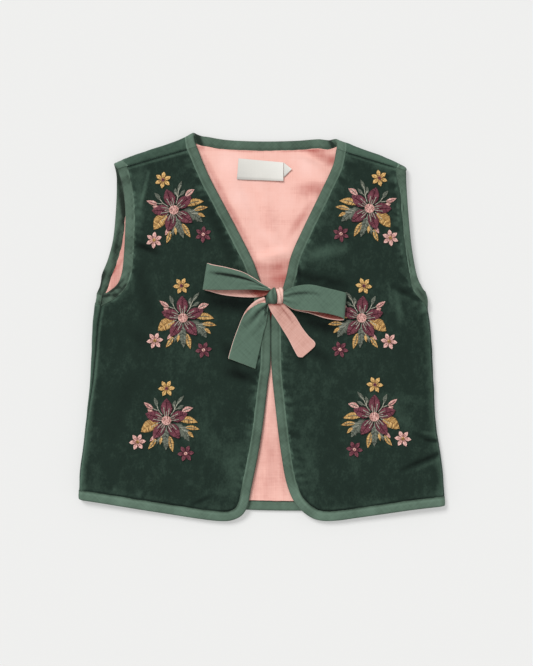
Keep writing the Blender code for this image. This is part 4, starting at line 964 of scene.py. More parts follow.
def build_binding(name, edge_band, surface, finish, rests_on, seed, darker=0.0, narrowed=0.0):
    """A binding: its section at each station of the edge, gently puckered, closed at its ends.
    It turns further under, and so shows less, by the share `narrowed` away from its ends."""
    edge, inward, along = edge_band
    between = ramp(along, 2, 24) * ramp(along[-1] - along, 2, 24)
    shows = 1 - narrowed * between
    outer, inner = binding_section()
    section = outer + inner
    rows, tones = [], []
    wobble = 0.24 * uneven_along(along, 7, seed) + 0.2 * uneven_along(along, 3.1, seed + 1)
    pucker = 0.26 * uneven_along(along, 5.5, seed + 2) + 0.16 * uneven_along(along, 2.6, seed + 3)
    crumple = (1 - between) * ("armhole" in name)
    pucker = pucker * (1 + 3.4 * crumple)
    # Painted highlight along a binding's lip: in beads at the armholes, even elsewhere, and turned
    # to painted shade along the hem
    shine = 3.2 * np.maximum(uneven_along(along, 2.6, seed + 7), 0) if "armhole" in name else 1.0
    shine = shine * (1 - 2.2 * beside_hem(edge))
    swell = 0.25 * uneven_along(along, 26, seed + 4)
    # An uneven tone along the binding, with painted shade in the crumples under the arms
    shade = 0.22 * uneven_along(along, 13, seed + 5) + 0.16 * uneven_along(along, 4, seed + 6)
    shade = shade - 1.3 * crumple * np.maximum(uneven_along(along, 3, seed + 8), 0)
    for number, (distance, depth) in enumerate(section):
        is_outer = number < len(outer)
        share = math.sin(math.pi * min(distance / BINDING_WIDTH, 1))
        shift = wobble * (distance > 8.5) * is_outer
        place = edge + inward * (distance * shows + shift)[:, None]
        placed, normals = surface(place)
        rise = (pucker + swell) * share * (is_outer and depth < BINDING_HEIGHT / 2)
        rows.append(placed - normals * (depth - rise)[:, None])
        # Painted light and shade across the section: the lip's band, a lighter middle and painted
        # shade at the fold
        lip_light_and_shade = np.interp(distance, *zip(*LIP_LIGHT_AND_SHADE)) * shine + 0.12 * share - 0.25 * (distance < 1)
        # Painted shade on a back binding, where the fronts lie over it, growing towards the panel
        painted_under_shade = darker * (0.25 + 1.5 * ramp(distance, 3.5, 8.5))
        over, _ = past_fold(place)
        # Painted light in place of that painted shade where a back binding rolls up over a shoulder
        lobe = ramp(over, 7, 11) * (edge[:, 1] > SHOULDERS_FROM_Y) * (darker < 0)
        # Its tone: all of these, lighter along the hem, and painted shadow beside the fronts or
        # painted shade in the crumples
        tones.append((shade + painted_under_shade) * (1 - lobe) + 0.35 * lobe + lip_light_and_shade * is_outer
                     + 0.45 * beside_hem(edge)
                     + strokes(place, BINDING_PAINTED_SHADOWS if darker < 0 else CRUMPLE_PAINTED_SHADE))
    grid = np.stack(rows, axis=1)
    faces = rod_faces(*grid.shape[:2])
    if surface is front_surface:
        faces = [face[::-1] for face in faces]
    made = new_piece(
        f"{name}_cotton", grid.reshape(-1, 3), faces, [finish], [name],
        np.stack(tones, axis=1),
    )


# Bow


class Ground:
    """The height of the fronts under the bow and the embroidery, kept on an even grid."""

    STEP = 1.25

    def __init__(self):
        self.fronts = []

    def add(self, outline, bound, seams, shape):
        low, high = outline.min(axis=0) - 4, outline.max(axis=0) + 4
        xs, ys = (np.arange(low[i], high[i], self.STEP) for i in (0, 1))
        points = np.stack(np.meshgrid(xs, ys, indexing="ij"), axis=2).reshape(-1, 2)
        spans = measured(points, bound, seams)
        full = shape(points, spans)[0].reshape(len(xs), len(ys))
        soft = np.maximum(front_rise(points, spans)[0], 0).reshape(len(xs), len(ys))
        self.fronts.append((outline, low, {True: soft, False: full}))

    def height(self, points, soft=True):
        points = np.asarray(points, float)
        height = np.full(len(points), FRONT_TOP, float)
        for outline, low, grids in self.fronts:
            within = inside(points, outline)
            place = (points[within] - low) / self.STEP
            cell = place.astype(int)
            height[within] += blended(grids[soft], cell, cell + 1, place - cell)
        return height


def build_ribbon(name, rows, facing, slot, piping, pleats, painted_light_and_shade, ground, finishes):
    """A ribbon of two cottons sewn face to face. facing is the cotton on top. piping is how wide
    the other cotton shows along an edge: (edge, width, fading from, to, first, last). pleats fan
    out from the knot: (end, count, depth, reach, turn). The last table is painted shade and
    painted light beside an edge: (edge, from and to in from it, first, last, tone). The crease
    and the pleats carry painted shade too."""
    table = curve(rows, 9)
    share = np.linspace(0, 1, RIBBON_COLUMNS + 1)
    ease = share - 0.1 * np.sin(2 * math.pi * share)
    edges, across = table[:, None, :4], ease[None, :, None]
    plan = edges[..., :2] * (1 - across) + edges[..., 2:] * across
    dent = bell(ease[None], CREASE_AT, CREASE_WIDE)
    lift = table[:, 4:5] - table[:, 5:6] * dent
    # Painted shade along the crease
    tone = -np.maximum(table[:, 5:6], 0) * dent
    along = np.linspace(0, 1, len(table))
    widths = np.linalg.norm(table[:, 2:4] - table[:, 0:2], axis=1)
    # Painted shade inside the loops and by the knot, painted light along the rims
    for side, near, far, first, last, deep in painted_light_and_shade:
        gap = (ease if side < 0 else 1 - ease)[None] * widths[:, None]
        here = ramp(along, first - 0.07, first) * (1 - ramp(along, last, last + 0.07))
        tone = tone + deep * here[:, None] * ((gap >= near) & (gap < far))
    travelled = walk(plan.mean(axis=1))[:, None]
    for end, count, depth, reach, turn in pleats:
        gone = travelled if end == 0 else travelled[-1] - travelled
        wave = np.sin(count * math.pi * (ease + turn * gone / reach)) * np.sin(math.pi * ease)
        lift = lift + depth * bell(gone, 0, reach) * wave
        # Painted shade in the pleats' hollows and painted light on their crests
        tone = tone + 0.9 * depth * bell(gone, 0, reach) * (wave - 0.3)
    height = ground.height(plan.reshape(-1, 2)).reshape(plan.shape[:2]) + lift
    middle = raised(plan, height)
    normal = np.cross(np.gradient(middle, axis=0), np.gradient(middle, axis=1))
    normal /= np.maximum(np.linalg.norm(normal, axis=2, keepdims=True), 1e-9)
    round_off = np.sqrt(np.clip(1 - np.abs(2 * share - 1) ** 14, 0.05, 1))
    out = normal * RIBBON_WALL / 2 * round_off[None, :, None]
    points = np.stack([middle + out, middle - out]).reshape(-1, 3)
    faces, _ = shell_faces(*middle.shape[:2])
    at, wide_here = along[:-1, None], widths[:-1, None]
    across = (ease[:-1] + ease[1:]) / 2 * wide_here
    shown = np.zeros(across.shape, bool)
    for side, wide, start, end, first, last in piping:
        fade = 1 - 0.94 * np.clip((at - start) / (end - start), 0, 1)
        gap = across if side < 0 else wide_here - across
        shown |= (gap < wide * fade) & (first <= at) & (at <= last)
    indices = np.ones(len(faces))
    indices[: 2 * shown.size] = np.stack([shown, ~shown], axis=2).reshape(-1)
    made = new_piece(
        f"{name}_ribbon", points, faces, finishes if facing == "green" else finishes[::-1],
        [name], np.tile(tone.reshape(-1), 2), indices,
    )
    flip_if_inward(made)


RIBBONS = (  # name, rows, cotton on top, slot, piping, pleats, painted light and shade
    ("bow_loop_left", LEFT_LOOP, "green", "cotton_green", ((1, 0.45, 2, 3, 0.5, 1),),
     ((1, 5, 0.8, 18, 0.25), (0, 3, 0.4, 14, 0)),
     ((-1, 0, 30, -0.1, 0.11, -1), (-1, 0, 0.7, 0.16, 0.5, 0.8), (-1, 2.6, 30, -0.1, 0.17, -0.7),
      (1, 0, 0.5, 0.5, 1, 0.9))),
    ("bow_loop_right", RIGHT_LOOP, "pink", "cotton_green", ((-1, 0.35, 2, 3, 0.78, 1),),
     ((1, 6, 0.6, 9, 0), (0, 3, 0.4, 14, 0)),
     ((-1, 0.5, 9, 0.05, 0.44, -1), (-1, 0, 0.8, 0.05, 0.5, 0.9))),
    ("bow_tail_left", LEFT_TAIL, "green", "cotton_green", ((-1, 6.8, 0, 0.38, 0, 1),),
     ((0, 4, 1.1, 24, 0.5),),
     ((-1, 0, 0.7, 0.38, 1, 1), (-1, 0, 5.5, -0.1, 0.24, 0.8), (1, 1, 3.4, 0.04, 0.3, -0.8))),
    ("bow_tail_right", RIGHT_TAIL, "pink", "cotton_pink", (), ((0, 3, 0.3, 11, 0),),
     ((-1, 0, 0.6, 0.2, 1, 0.5), (1, 0, 0.6, 0.2, 1, 0.7), (-1, 0, 30, -0.1, 0.015, -0.9))),
    ("tie_left", LEFT_TIE, "pink", "cotton_green", (), (), ()),
    ("tie_right", RIGHT_TIE, "green", "cotton_green", (), (), ()),
)


class Gathered:
    """Forms gathered into one mesh. Each has a finish, one for all its faces or one for each, and
    a tone in the same way for its points."""

    def __init__(self):
        self.points, self.faces, self.indices, self.tones = [], [], [], []
        self.count = 0

    def add(self, points, faces, finish, tone):
        self.points.append(np.asarray(points, float))
        self.faces += [tuple(self.count + i for i in face) for face in faces]
        self.indices += list(np.broadcast_to(finish, len(faces)))
        self.tones.append(np.broadcast_to(tone, len(points)))
        self.count += len(points)


def flip_if_inward(made):
    mesh = made.data
    mesh.calc_loop_triangles()
    points = np.array([v.co for v in mesh.vertices])
    corners = points[np.array([t.vertices for t in mesh.loop_triangles])]
    if np.linalg.det(corners).sum() < 0:
        mesh.flip_normals()


KNOT_BAND = (  # turn over the knot in degrees, left x, green's right x, right x
    (-25, 4.8, 13.6, 19), (0, 3.8, 14.2, 19.6), (40, 3.5, 14.8, 20.4), (80, 4, 14.6, 20.8),
    (100, 4.9, 14.4, 20.9), (120, 6.6, 14, 20.9), (145, 9, 13.3, 20.6), (165, 10.4, 13, 20.2),
    (180, 11.2, 12.9, 19.8), (205, 11.4, 13.2, 18.8),
)
KNOT_SPOT, KNOT_MIDDLE_Y = (12.5, 29.0), 28.9
KNOT_HALF, KNOT_WALL = 8.0, 1.0
CORE_X, CORE_SIZE = 12.7, (6.6, 6.4, 4.1)


def build_knot(finishes, ground):
    """The wrap at the bow's middle: a green band and a pink one side by side, over a core."""
    knot = Gathered()
    table = curve(KNOT_BAND, 6)
    turn = np.radians(table[:, :1])
    base = float(ground.height([KNOT_SPOT])[0]) + 1.2
    share = np.linspace(0, 1, 19)[None]
    ease = share + 0.05 * np.sin(2 * math.pi * share)
    crown = 1 - np.abs(2 * ease - 1) ** 5
    fold = 0.5 * np.sin(ease * 11 + turn * 2.2) * crown
    # Painted shade in the folds, towards the bands' edges and on their lower sides
    crease_shade = 0.7 * fold - 0.9 * np.abs(2 * ease - 1) ** 6 - 0.5 * (np.sin(turn) < 0.3)
    # Painted shade in a notch where the pink ribbon's edge turns under at the top
    notch_shade = 1.6 * bell(turn, 2.7, 0.16) * (ease < 0.45)
    for number, left, right, high, sag, shade in (
        (0, table[:, 1:2], table[:, 2:3], 7.6, 0.7, crease_shade - 0.15),
        (1, table[:, 2:3] - 0.4, table[:, 3:4], 6.6, 1.2, crease_shade + 0.8 - notch_shade),
    ):
        x = left * (1 - ease) + right * ease
        skins = []
        for depth in (0, KNOT_WALL):
            y = KNOT_MIDDLE_Y - (KNOT_HALF - depth - 0.9 * (1 - crown)) * np.cos(turn)
            z = base + (high - depth - sag * (1 - crown) + fold) * np.sin(turn)
            skins.append(np.stack([x, y, z], axis=2).reshape(-1, 3))
        faces, ring = shell_faces(*x.shape)
        indices = [number] * (len(faces) - len(ring)) + [1] * len(ring)
        knot.add(np.concatenate(skins), faces, indices, np.tile(shade.reshape(-1), 2))
    # The core: a rounded form inside both bands, at the deepest tone as painted shade where it
    # shows between them
    lean = np.linspace(0, math.pi, 13)[:, None]
    spin = 2 * math.pi * np.arange(24) / 24
    tall = np.where(lean < math.pi / 2 - 0.01, 1.15, 0.45)
    ball = np.sin(lean) * np.cos(spin), np.sin(lean) * np.sin(spin), np.cos(lean) * tall + 0 * spin
    core = (CORE_X, KNOT_MIDDLE_Y, base + 0.9) + np.stack(ball, axis=2).reshape(-1, 3) * CORE_SIZE
    knot.add(core, rod_faces(*ball[0].shape)[:-2], 0, -1)
    made = new_piece(
        "bow_knot_wrap", np.concatenate(knot.points), knot.faces, finishes, ["bow_knot"],
        np.concatenate(knot.tones), knot.indices,
    )
    weld(made)


def weld(made):
    form = bmesh.new()
    form.from_mesh(made.data)
    bmesh.ops.remove_doubles(form, verts=form.verts, dist=1e-6)
    bmesh.ops.recalc_face_normals(form, faces=form.faces)
    form.to_mesh(made.data)
    form.free()


# Labels


def build_label(name, corners, bound, finish, curl):
    """A thin woven label with softly lifted edges. curl gives the lift at each corner."""
    corners = [np.array(corner, float) for corner in corners]
    if len(corners) == 3:  # a tab folded to a point
        corners.insert(2, corners[1] + (-0.4, 0.4))
    u, v = np.meshgrid(np.linspace(0, 1, 33), np.linspace(0, 1, 15), indexing="ij")

    def spread(values, u, v):
        """Four corners' values, spread evenly between them."""
        a, b, c, d = values
        return (a * (1 - u) + b * u) * (1 - v) + (d * (1 - u) + c * u) * v

    flat = spread(corners, u[..., None], v[..., None]).reshape(-1, 2)
    lift = spread(curl, u, v) + 0.25 * np.sin(u * 7) * (1 - v)
    base = lining_height(flat, bound) + SEAM_GAP + np.maximum(lift, 0).reshape(-1)
    points = np.concatenate([raised(flat, base + LABEL_WALL), raised(flat, base)])
    faces, ring = shell_faces(*u.shape)
    # Painted sheen across the label, lightest towards its upper right, and a darker strip along its
    # lower edge
    satin_sheen = 0.7 * (u - 0.4) + 0.5 * (v - 0.5) - 0.5 * (v < 0.08)
    tone = np.tile(satin_sheen.reshape(-1), 2)
    made = new_piece(f"{name}_bare", points, faces, [finish], [name], tone)
    flip_if_inward(made)


# Embroidery. A motif is drawn about its own middle, in millimetres, and then laid on a front.

# A stitch: how far along it, the share of its height and of its width. Its section: across, up
STITCH = np.array([(0, 0.2, 0.55), (0.14, 1, 1), (0.86, 1, 1), (1, 0.2, 0.55)])
STITCH_SECTION = np.array([(-0.5, 0), (-0.3, 0.66), (0.3, 0.66), (0.5, 0)])
STITCH_FACES = rod_faces(len(STITCH), len(STITCH_SECTION))
SHORTEST_STITCH, STITCH_CROWN = 0.25, 0.12
CUSHION = ((1, 0), (0.82, 0.75), (0.5, 1))  # its rings: share of the outline's size, of the height
# Painted shade near a petal's root and painted highlight on its outer half: share of the way out,
# tone
PETAL_HIGHLIGHT_AND_SHADE = (0, 0.3, 0.6, 0.85, 1), (-0.4, -0.2, 0.9, 1, 0.2)


class Threads(Gathered):
    """Stitches and the padding under them, with a tone for each stitch."""

    def __init__(self, seed):
        super().__init__()
        self.rng = np.random.default_rng(seed)

    def stitch(self, start, end, base, crown, finish, width=THREAD_WIDTH, light=0.0):
        """One stitch: a rounded thread that rises out of the cloth and goes back in."""
        way = end - start
        length = math.hypot(*way)
        if length < SHORTEST_STITCH:
            return
        side = np.array([-way[1], way[0]]) / length
        along, rise, slim = STITCH.T[..., None]
        across, up = STITCH_SECTION.T * width
        plan = start + way * along[..., None] + side * (across * slim)[..., None]
        height = (base + crown) * rise + up * slim * 0.9
        points = raised(plan, height).reshape(-1, 3)
        self.add(points, STITCH_FACES, finish, self.rng.uniform(-1, 1) + light)

    def cushion(self, outline, height, finish):
        """The padding of a filled shape: a low dome on its outline, closed underneath."""
        middle, count = np.mean(outline, axis=0), len(outline)
        rings = [(middle + (p - middle) * size, up) for size, up in CUSHION for p in outline]
        points = [(*place, height * up) for place, up in rings]
        points += [(*middle, height), (*middle, 0)]
        faces = []
        for i, j in zip(range(count), (*range(1, count), 0)):
            faces += [(i + k, j + k, j + k + count, i + k + count) for k in (0, count)]
            faces += [(2 * count + i, 2 * count + j, 3 * count), (j, i, 3 * count + 1)]
        # Its tone is set dark, as painted shade in the gaps between the stitches over it
        self.add(points, faces, finish, -0.6)

    def stem(self, path, radius, base, finish):
        """A stem-stitched line: a row of short, slightly slanted stitches along a path."""
        path = spaced(curve(path, 10), 1.3)
        for a, b in zip(path[:-1], path[1:]):
            way = (b - a) / max(math.dist(a, b), 1e-6)
            slip = way * 0.45 + np.array([-way[1], way[0]]) * radius * 0.35
            self.stitch(a - slip, b + slip, base, STITCH_CROWN, finish, 2 * radius)

    def leaf(
        self, root, tip, width, finish, bend=0.0, fullness=0.8, peak=0.45, height=0.5, base=0.0,
        slant=0.55, serrate=0, spacing=THREAD_SPACING, vein=None, petal_highlight=0.0,
    ):
        """A satin-stitched leaf or petal: two halves of stitches that slant from its midrib."""
        length = math.dist(root, tip)
        way = (tip - root) / length
        side = np.array([-way[1], way[0]])
        shares = np.linspace(0, 1, 41)
        bow = np.outer(np.sin(math.pi * shares) * bend, side)
        spine = root + np.outer(shares * length, way) + bow
        shape = np.where(
            shares < peak,
            np.sin(0.5 * math.pi * shares / peak) ** fullness,
            np.cos(0.5 * math.pi * (shares - peak) / (1 - peak)) ** (fullness * 1.15),
        )
        if serrate:
            teeth = np.abs(np.sin(math.pi * serrate * shares)) ** 0.7
            shape = shape * (1 - 0.36 * teeth * (shares > 0.12))
        half = np.maximum(width / 2 * shape, 0.12)
        edge = side * half[:, None]
        outline = np.concatenate([spine + edge, (spine - edge)[::-1]])[::3]
        self.cushion(outline, height * 0.8, finish)

        def on_spine(share):
            return np.array([np.interp(share, shares, spine[:, i]) for i in (0, 1)])

        count = max(3, round(length / spacing))
        for sign in (-1, 1):
            for at in (np.arange(count) + 0.5) / count:
                out = min(at + slant * width / 2 / length * (1 - at) * 0.9, 0.995)
                reach = np.interp(out, shares, half) * self.rng.uniform(0.88, 1.08)
                start = on_spine(at) - side * sign * 0.12
                end = on_spine(out) + side * sign * reach
                # Painted highlight and shade along the petal
                light = petal_highlight * np.interp(at, *PETAL_HIGHLIGHT_AND_SHADE)
                self.stitch(start, end, base + height, STITCH_CROWN, finish, light=light)
        if vein is not None:
            line = spine[(shares > 0.1) & (shares < 0.85)]
            self.stem(line[::6], 0.32, base + height + 0.3, vein)


def around(angle, reach):
    turn = math.radians(angle)
    return np.array([reach * math.cos(turn), reach * math.sin(turn)])


LEAF, BURGUNDY, MUSTARD, PINK, STEM = range(5)
# Leaves and buds round the flower: direction and reach of the root, of the tip, width, thread,
# bend, serration, thread of the midrib
LEAVES = (
    (196, 8, 204, 26.2, 10.8, MUSTARD, -1.4, 0, None),
    (1, 12, 356.5, 29.4, 6.6, MUSTARD, 1.4, 0, LEAF),
    (340, 19, 345, 32.2, 4.4, MUSTARD, 0.5, 0, LEAF),
    (331.5, 22, 328, 30.2, 3.4, MUSTARD, 0.3, 0, None),
    (338, 8.5, 317.5, 29.2, 12, LEAF, 1.6, 5, None), (268, 8, 269, 28.4, 9.8, LEAF, 0, 5, None),
    (281, 15, 281, 30.2, 5.4, MUSTARD, 0, 0, LEAF),
    (240, 20, 237.5, 32.2, 4.4, MUSTARD, 0.4, 0, LEAF),
    (233, 17.5, 231, 25.2, 3.4, PINK, 0.3, 0, None), (252, 15, 255, 23.6, 3, MUSTARD, 0, 0, None),
    (243, 13, 248, 25, 3, LEAF, 0.5, 0, None), (125, 16, 118.5, 24.6, 3.8, LEAF, -0.6, 0, None),
    (139, 16.5, 141, 27.4, 4.2, PINK, 0.4, 0, BURGUNDY),
    (152, 13.5, 150, 20.6, 4.2, PINK, 0.3, 0, None), (57, 18, 55, 28.6, 3.4, LEAF, 0.2, 0, None),
    (64, 14.5, 66, 21, 3, LEAF, 0, 0, None), (46, 15, 41.5, 22, 3.2, LEAF, 0, 0, None),
    (30, 17, 25.5, 27.6, 5.2, PINK, 0.5, 0, LEAF),
)
STEMS = (  # points as (direction, reach)
    ((128, 6.5), (128, 12.0), (122, 17.0)),
    ((132, 12.5), (139, 17.5), (141, 22.0)),
    ((52, 6.5), (53, 12.0), (57, 19.0), (55, 24.0)),
    ((54, 13.0), (64, 16.5)),
    ((52, 13.0), (44, 17.0)),
    ((332, 14.0), (338, 18.5), (343, 21.0)),
    ((330, 17.0), (332, 23.0)),
    ((196, 6.5), (198, 9.5), (203, 16.0)),
    ((262, 12.0), (247, 20.0), (240, 23.0)),
    ((268, 5.5), (268, 10.0)),
)
PETAL_TURNS = (90, 162, 234, 306, 18)
BLOSSOMS = (  # name, thread, thread of the dot, offset x, y, turn
    ("mustard", MUSTARD, BURGUNDY, 0.0, 30.3, 33),
    ("pink", PINK, MUSTARD, -27.4, -20.3, 35),
    ("burgundy", BURGUNDY, PINK, 18.2, -31.2, 36),
)


def leaves_motif():
    threads = Threads(SEED + 1)
    for root_turn, root, tip_turn, tip, width, finish, bend, serrate, vein in LEAVES:
        full, high = 0.66 if width > 10.5 else 0.8, 0.5 if width > 5 else 0.4
        threads.leaf(
            around(root_turn, root), around(tip_turn, tip), width, finish, bend,
            fullness=full, height=high, serrate=serrate, vein=vein,
        )
    for path in STEMS:
        threads.stem([around(*place) for place in path], 0.4, 0.35, STEM)
    return threads


def flower_motif():
    threads = Threads(SEED + 2)
    for turn in PETAL_TURNS:
        threads.leaf(
            around(turn, 3.4), around(turn, 20.8), 10.8, BURGUNDY,
            fullness=0.72, peak=0.5, height=0.65, base=0.55, slant=0.75,
        )
        for lean, reach in ((-15, 11.6), (14, 12.4), (0, 8.4)):
            path = (
                around(turn + lean * 1.3, 4.6),
                around(turn + lean * 1.1, 7.4 if lean else 6.4),
                around(turn + lean * 0.85, reach),
            )
            threads.stem(path, 0.37, 1.65, STEM)
    ring = np.array([around(turn, 4.25) for turn in range(0, 360, 15)])
    threads.cushion(ring, 1.9, PINK)
    for k in range(23):
        x = (k - 11) * 0.41
        reach = math.sqrt(max(4.5**2 - x * x, 0.2))
        breaks = sorted(threads.rng.uniform(-0.6, 0.6, 2) * reach)
        ends = [-reach, *breaks, reach]
        for a, b in zip(ends[:-1], ends[1:]):
            threads.stitch(np.array((x, a - 0.1)), (x, b + 0.1), 1.85, 0.1, PINK)
    for k in range(12):
        spot, colour = around(k * 30 + 8, 2.6 + 1.2 * (k % 2)), (BURGUNDY, PINK)[k % 2]
        threads.stitch(spot - (0.5, 0.2), spot + (0.5, 0.2), 2.3, 0.15, colour, 0.42)
    return threads


def blossom_motif(thread, dot, x, y, turn):
    threads = Threads(SEED + 3 + thread)
    middle = np.array([x, y])
    for k in range(6):
        angle = turn + 30 + 60 * k
        threads.leaf(
            middle + around(angle, 1.0), middle + around(angle, 7.9), 3.9, thread,
            fullness=0.8, peak=0.55, height=0.75, slant=0.5, spacing=0.5, petal_highlight=0.9,
        )
    ring = np.array([middle + around(a, 2.05) for a in range(0, 360, 30)])
    threads.cushion(ring, 1.45, dot)
    for k in range(6):
        spot = middle + around(60 * k, 1.05)
        way = around(60 * k + 100, 0.95)
        threads.stitch(spot - way, spot + way, 1.25, 0.32, dot, 0.9)
    return threads


def lay_motif(node, threads, ground, place, finishes):
    """A motif turned, mirrored and laid on its front."""
    x, y, turn, side = place
    points = np.concatenate(threads.points)
    angle = math.radians(turn)
    spin = np.array([[math.cos(angle), math.sin(angle)], [-math.sin(angle), math.cos(angle)]])
    plan = (points[:, :2] * (side, 1)) @ spin + (x, y)
    placed = raised(plan, ground.height(plan, soft=False) + points[:, 2])
    faces = threads.faces if side > 0 else [face[::-1] for face in threads.faces]
    new_piece(
        f"{node}_stitched", placed, faces, finishes, [node],
        np.concatenate(threads.tones), threads.indices,
    )


# Materials


def wire(tree, kind, settings=None, **inputs):
    """A shader node with its settings, and each input given a value or linked to a socket."""
    made = tree.nodes.new(kind)
    for name, value in (settings or {}).items():
        setattr(made, name, value)
    for name, value in inputs.items():
        key = int(name[1:]) if name[0] == "_" else name.replace("_", " ")
        socket = made.inputs[key]
        if isinstance(value, bpy.types.NodeSocket):
            tree.links.new(value, socket)
        else:
            socket.default_value = value
    return made


def math_node(tree, operation, a, b=0.0, c=0.0):
    return wire(tree, "ShaderNodeMath", {"operation": operation}, _0=a, _1=b, _2=c).outputs[0]


def object_place(tree):
    return wire(tree, "ShaderNodeTexCoord").outputs["Object"]


def stretched(tree, place, by):
    return wire(tree, "ShaderNodeVectorMath", {"operation": "MULTIPLY"}, _0=place, _1=by).outputs[0]


def noise(tree, place, scale, detail):
    return wire(tree, "ShaderNodeTexNoise", Vector=place, Scale=scale, Detail=detail).outputs[0]


def tone_of(tree, name="tone"):
    """The tone that a piece's points hold."""
    return wire(tree, "ShaderNodeAttribute", {"attribute_name": name}).outputs["Fac"]


def new_group(name, inputs, outputs):
    """A node group with its given values, and the places where its results go."""
    tree = bpy.data.node_groups.new(name, "ShaderNodeTree")
    number = "NodeSocketFloat"
    for title, value in inputs.items():
        socket = tree.interface.new_socket(name=title, in_out="INPUT", socket_type=number)
        socket.default_value = value
    for title in outputs:
        tree.interface.new_socket(name=title, in_out="OUTPUT", socket_type=number)
    return tree, tree.nodes.new("NodeGroupInput").outputs, tree.nodes.new("NodeGroupOutput").inputs


def weave_group():
    """A plain weave: its height, and a tone that varies from thread to thread."""
    tree, given, made = new_group("plain_weave", {"Pitch": 0.55, "Turn": 0.0}, ("Height", "Tone"))
    turned = wire(
        tree, "ShaderNodeVectorRotate", {"rotation_type": "Z_AXIS"},
        Vector=object_place(tree), Angle=given["Turn"],
    ).outputs[0]
    split = wire(tree, "ShaderNodeSeparateXYZ", _0=turned)
    scale = math_node(tree, "DIVIDE", 1000 * math.pi, given["Pitch"])
    waves, tones = [], []
    for axis, by in ((0, (1100, 45, 60)), (1, (45, 1100, 60))):
        across = math_node(tree, "MULTIPLY", split.outputs[axis], scale)
        waves.append(math_node(tree, "SINE", across))
        tones.append(noise(tree, stretched(tree, turned, by), 1, 2))
    height = math_node(tree, "MULTIPLY_ADD", math_node(tree, "MULTIPLY", *waves), 0.5, 0.5)
    tree.links.new(height, made["Height"])
    tree.links.new(math_node(tree, "SUBTRACT", math_node(tree, "ADD", *tones), 1.0), made["Tone"])
    return tree


def mottle_group():
    """Soft uneven patches of two sizes, between -1 and 1."""
    sizes = {"Large": 28.0, "Small": 180.0, "Share": 0.5}
    tree, given, made = new_group("mottle", sizes, ("Tone",))
    place = object_place(tree)
    large, small = (noise(tree, place, given[size], 3) for size in ("Large", "Small"))
    kind = {"data_type": "FLOAT"}
    mixed = wire(tree, "ShaderNodeMix", kind, Factor=given["Share"], _2=large, _3=small).outputs[0]
    tree.links.new(math_node(tree, "MULTIPLY_ADD", mixed, 4.0, -2.0), made["Tone"])
    return tree


def use_group(tree, group, **inputs):
    made = tree.nodes.new("ShaderNodeGroup")
    made.node_tree = group
    for name, value in inputs.items():
        made.inputs[name].default_value = value
    return made


def shaded(tree, name, tone):
    """A cloth's colour, from its deepest at a tone of -1 to its lightest at 1. The deep and light
    ends also serve the painted shade and painted light that the tone holds.
    """
    made = wire(tree, "ShaderNodeValToRGB", Fac=math_node(tree, "MULTIPLY_ADD", tone, 0.5, 0.5))
    deep, middle, light = (colour_of(shade) for shade in SHADES[name])
    stops = made.color_ramp.elements
    stops[0].position, stops[0].color = 0.0, deep
    stops[1].position, stops[1].color = 1.0, light
    stops.new(0.5).color = middle
    return made.outputs[0]


def new_material(name, roughness, specular, sheen=0.0, sheen_roughness=0.5, sheen_tint=WHITE):
    made = bpy.data.materials.new(name)
    made.use_nodes = True
    shader = made.node_tree.nodes["Principled BSDF"]
    settings = (
        ("Roughness", roughness), ("Metallic", 0.0), ("Specular IOR Level", specular),
        ("Sheen Weight", sheen), ("Sheen Roughness", sheen_roughness), ("Sheen Tint", sheen_tint),
    )
    for setting, value in settings:
        shader.inputs[setting].default_value = value
    return made, made.node_tree, shader


def set_cloth(tree, shader, colour, height, distance, strength=1.0):
    """A cloth's colour and relief."""
    tree.links.new(colour, shader.inputs["Base Color"])
    bump = wire(tree, "ShaderNodeBump", Height=height, Distance=distance, Strength=strength)
    tree.links.new(bump.outputs[0], shader.inputs["Normal"])


def velvet(mottle):
    """Short cotton pile, with a sheen of its own: dark where it stands, lighter where it leans,
    with painted sheen where it rolls away and painted shade where it lies deep, from the points'
    tone.
    """
    made, tree, shader = new_material("velvet", 0.95, 0.1, 0.5, 0.35, (0.62, 0.85, 0.75, 1))
    patches = use_group(tree, mottle, Large=30, Small=380, Share=0.55).outputs[0]
    place = object_place(tree)
    streaks = noise(tree, stretched(tree, place, (640, 430, 500)), 1, 2)
    tone = math_node(tree, "MULTIPLY_ADD", patches, 0.06, tone_of(tree, "pile_sheen_and_shade"))
    tone = math_node(tree, "MULTIPLY_ADD", math_node(tree, "SUBTRACT", streaks, 0.5), 0.4, tone)
    pile, clumps = noise(tree, place, 1500, 2), noise(tree, place, 330, 3)
    height = math_node(tree, "MULTIPLY_ADD", clumps, 2.2, pile)
    set_cloth(tree, shader, shaded(tree, "velvet", tone), height, 0.00028, 0.8)
    return made


def cotton(name, weave, mottle, pitch, turn, grain):
    made, tree, shader = new_material(name, 0.88, 0.2, 0.08, 0.5)
    cloth = use_group(tree, weave, Pitch=pitch, Turn=turn).outputs
    patches = use_group(tree, mottle, Large=45, Small=260, Share=0.4).outputs[0]
    tone = tone_of(tree)
    # The points' tone holds painted shade and painted light; the patches and the weave add the
    # cloth's own uneven tone, and the weave's height a little painted light on the raised threads
    for part, share in ((patches, 0.3 * grain), (cloth["Tone"], grain), (cloth["Height"], 0.08)):
        tone = math_node(tree, "MULTIPLY_ADD", part, share, tone)
    set_cloth(tree, shader, shaded(tree, name, tone), cloth["Height"], 0.00006)
    return made


def thread(name, mottle):
    made, tree, shader = new_material(f"thread_{name}", 0.6, 0.3, 0.08, 0.4)
    patches = use_group(tree, mottle, Large=350, Small=900, Share=0.5).outputs[0]
    # The points' tone: each stitch's own uneven shade of thread, painted highlight and shade on the
    # blossoms' petals and painted shade on the padding between stitches
    tone = math_node(tree, "MULTIPLY", tone_of(tree), 0.9)
    tone = math_node(tree, "MULTIPLY_ADD", patches, 0.8, tone)
    fibre = noise(tree, object_place(tree), 2400, 1)
    set_cloth(tree, shader, shaded(tree, name, tone), fibre, 0.00005)
    return made


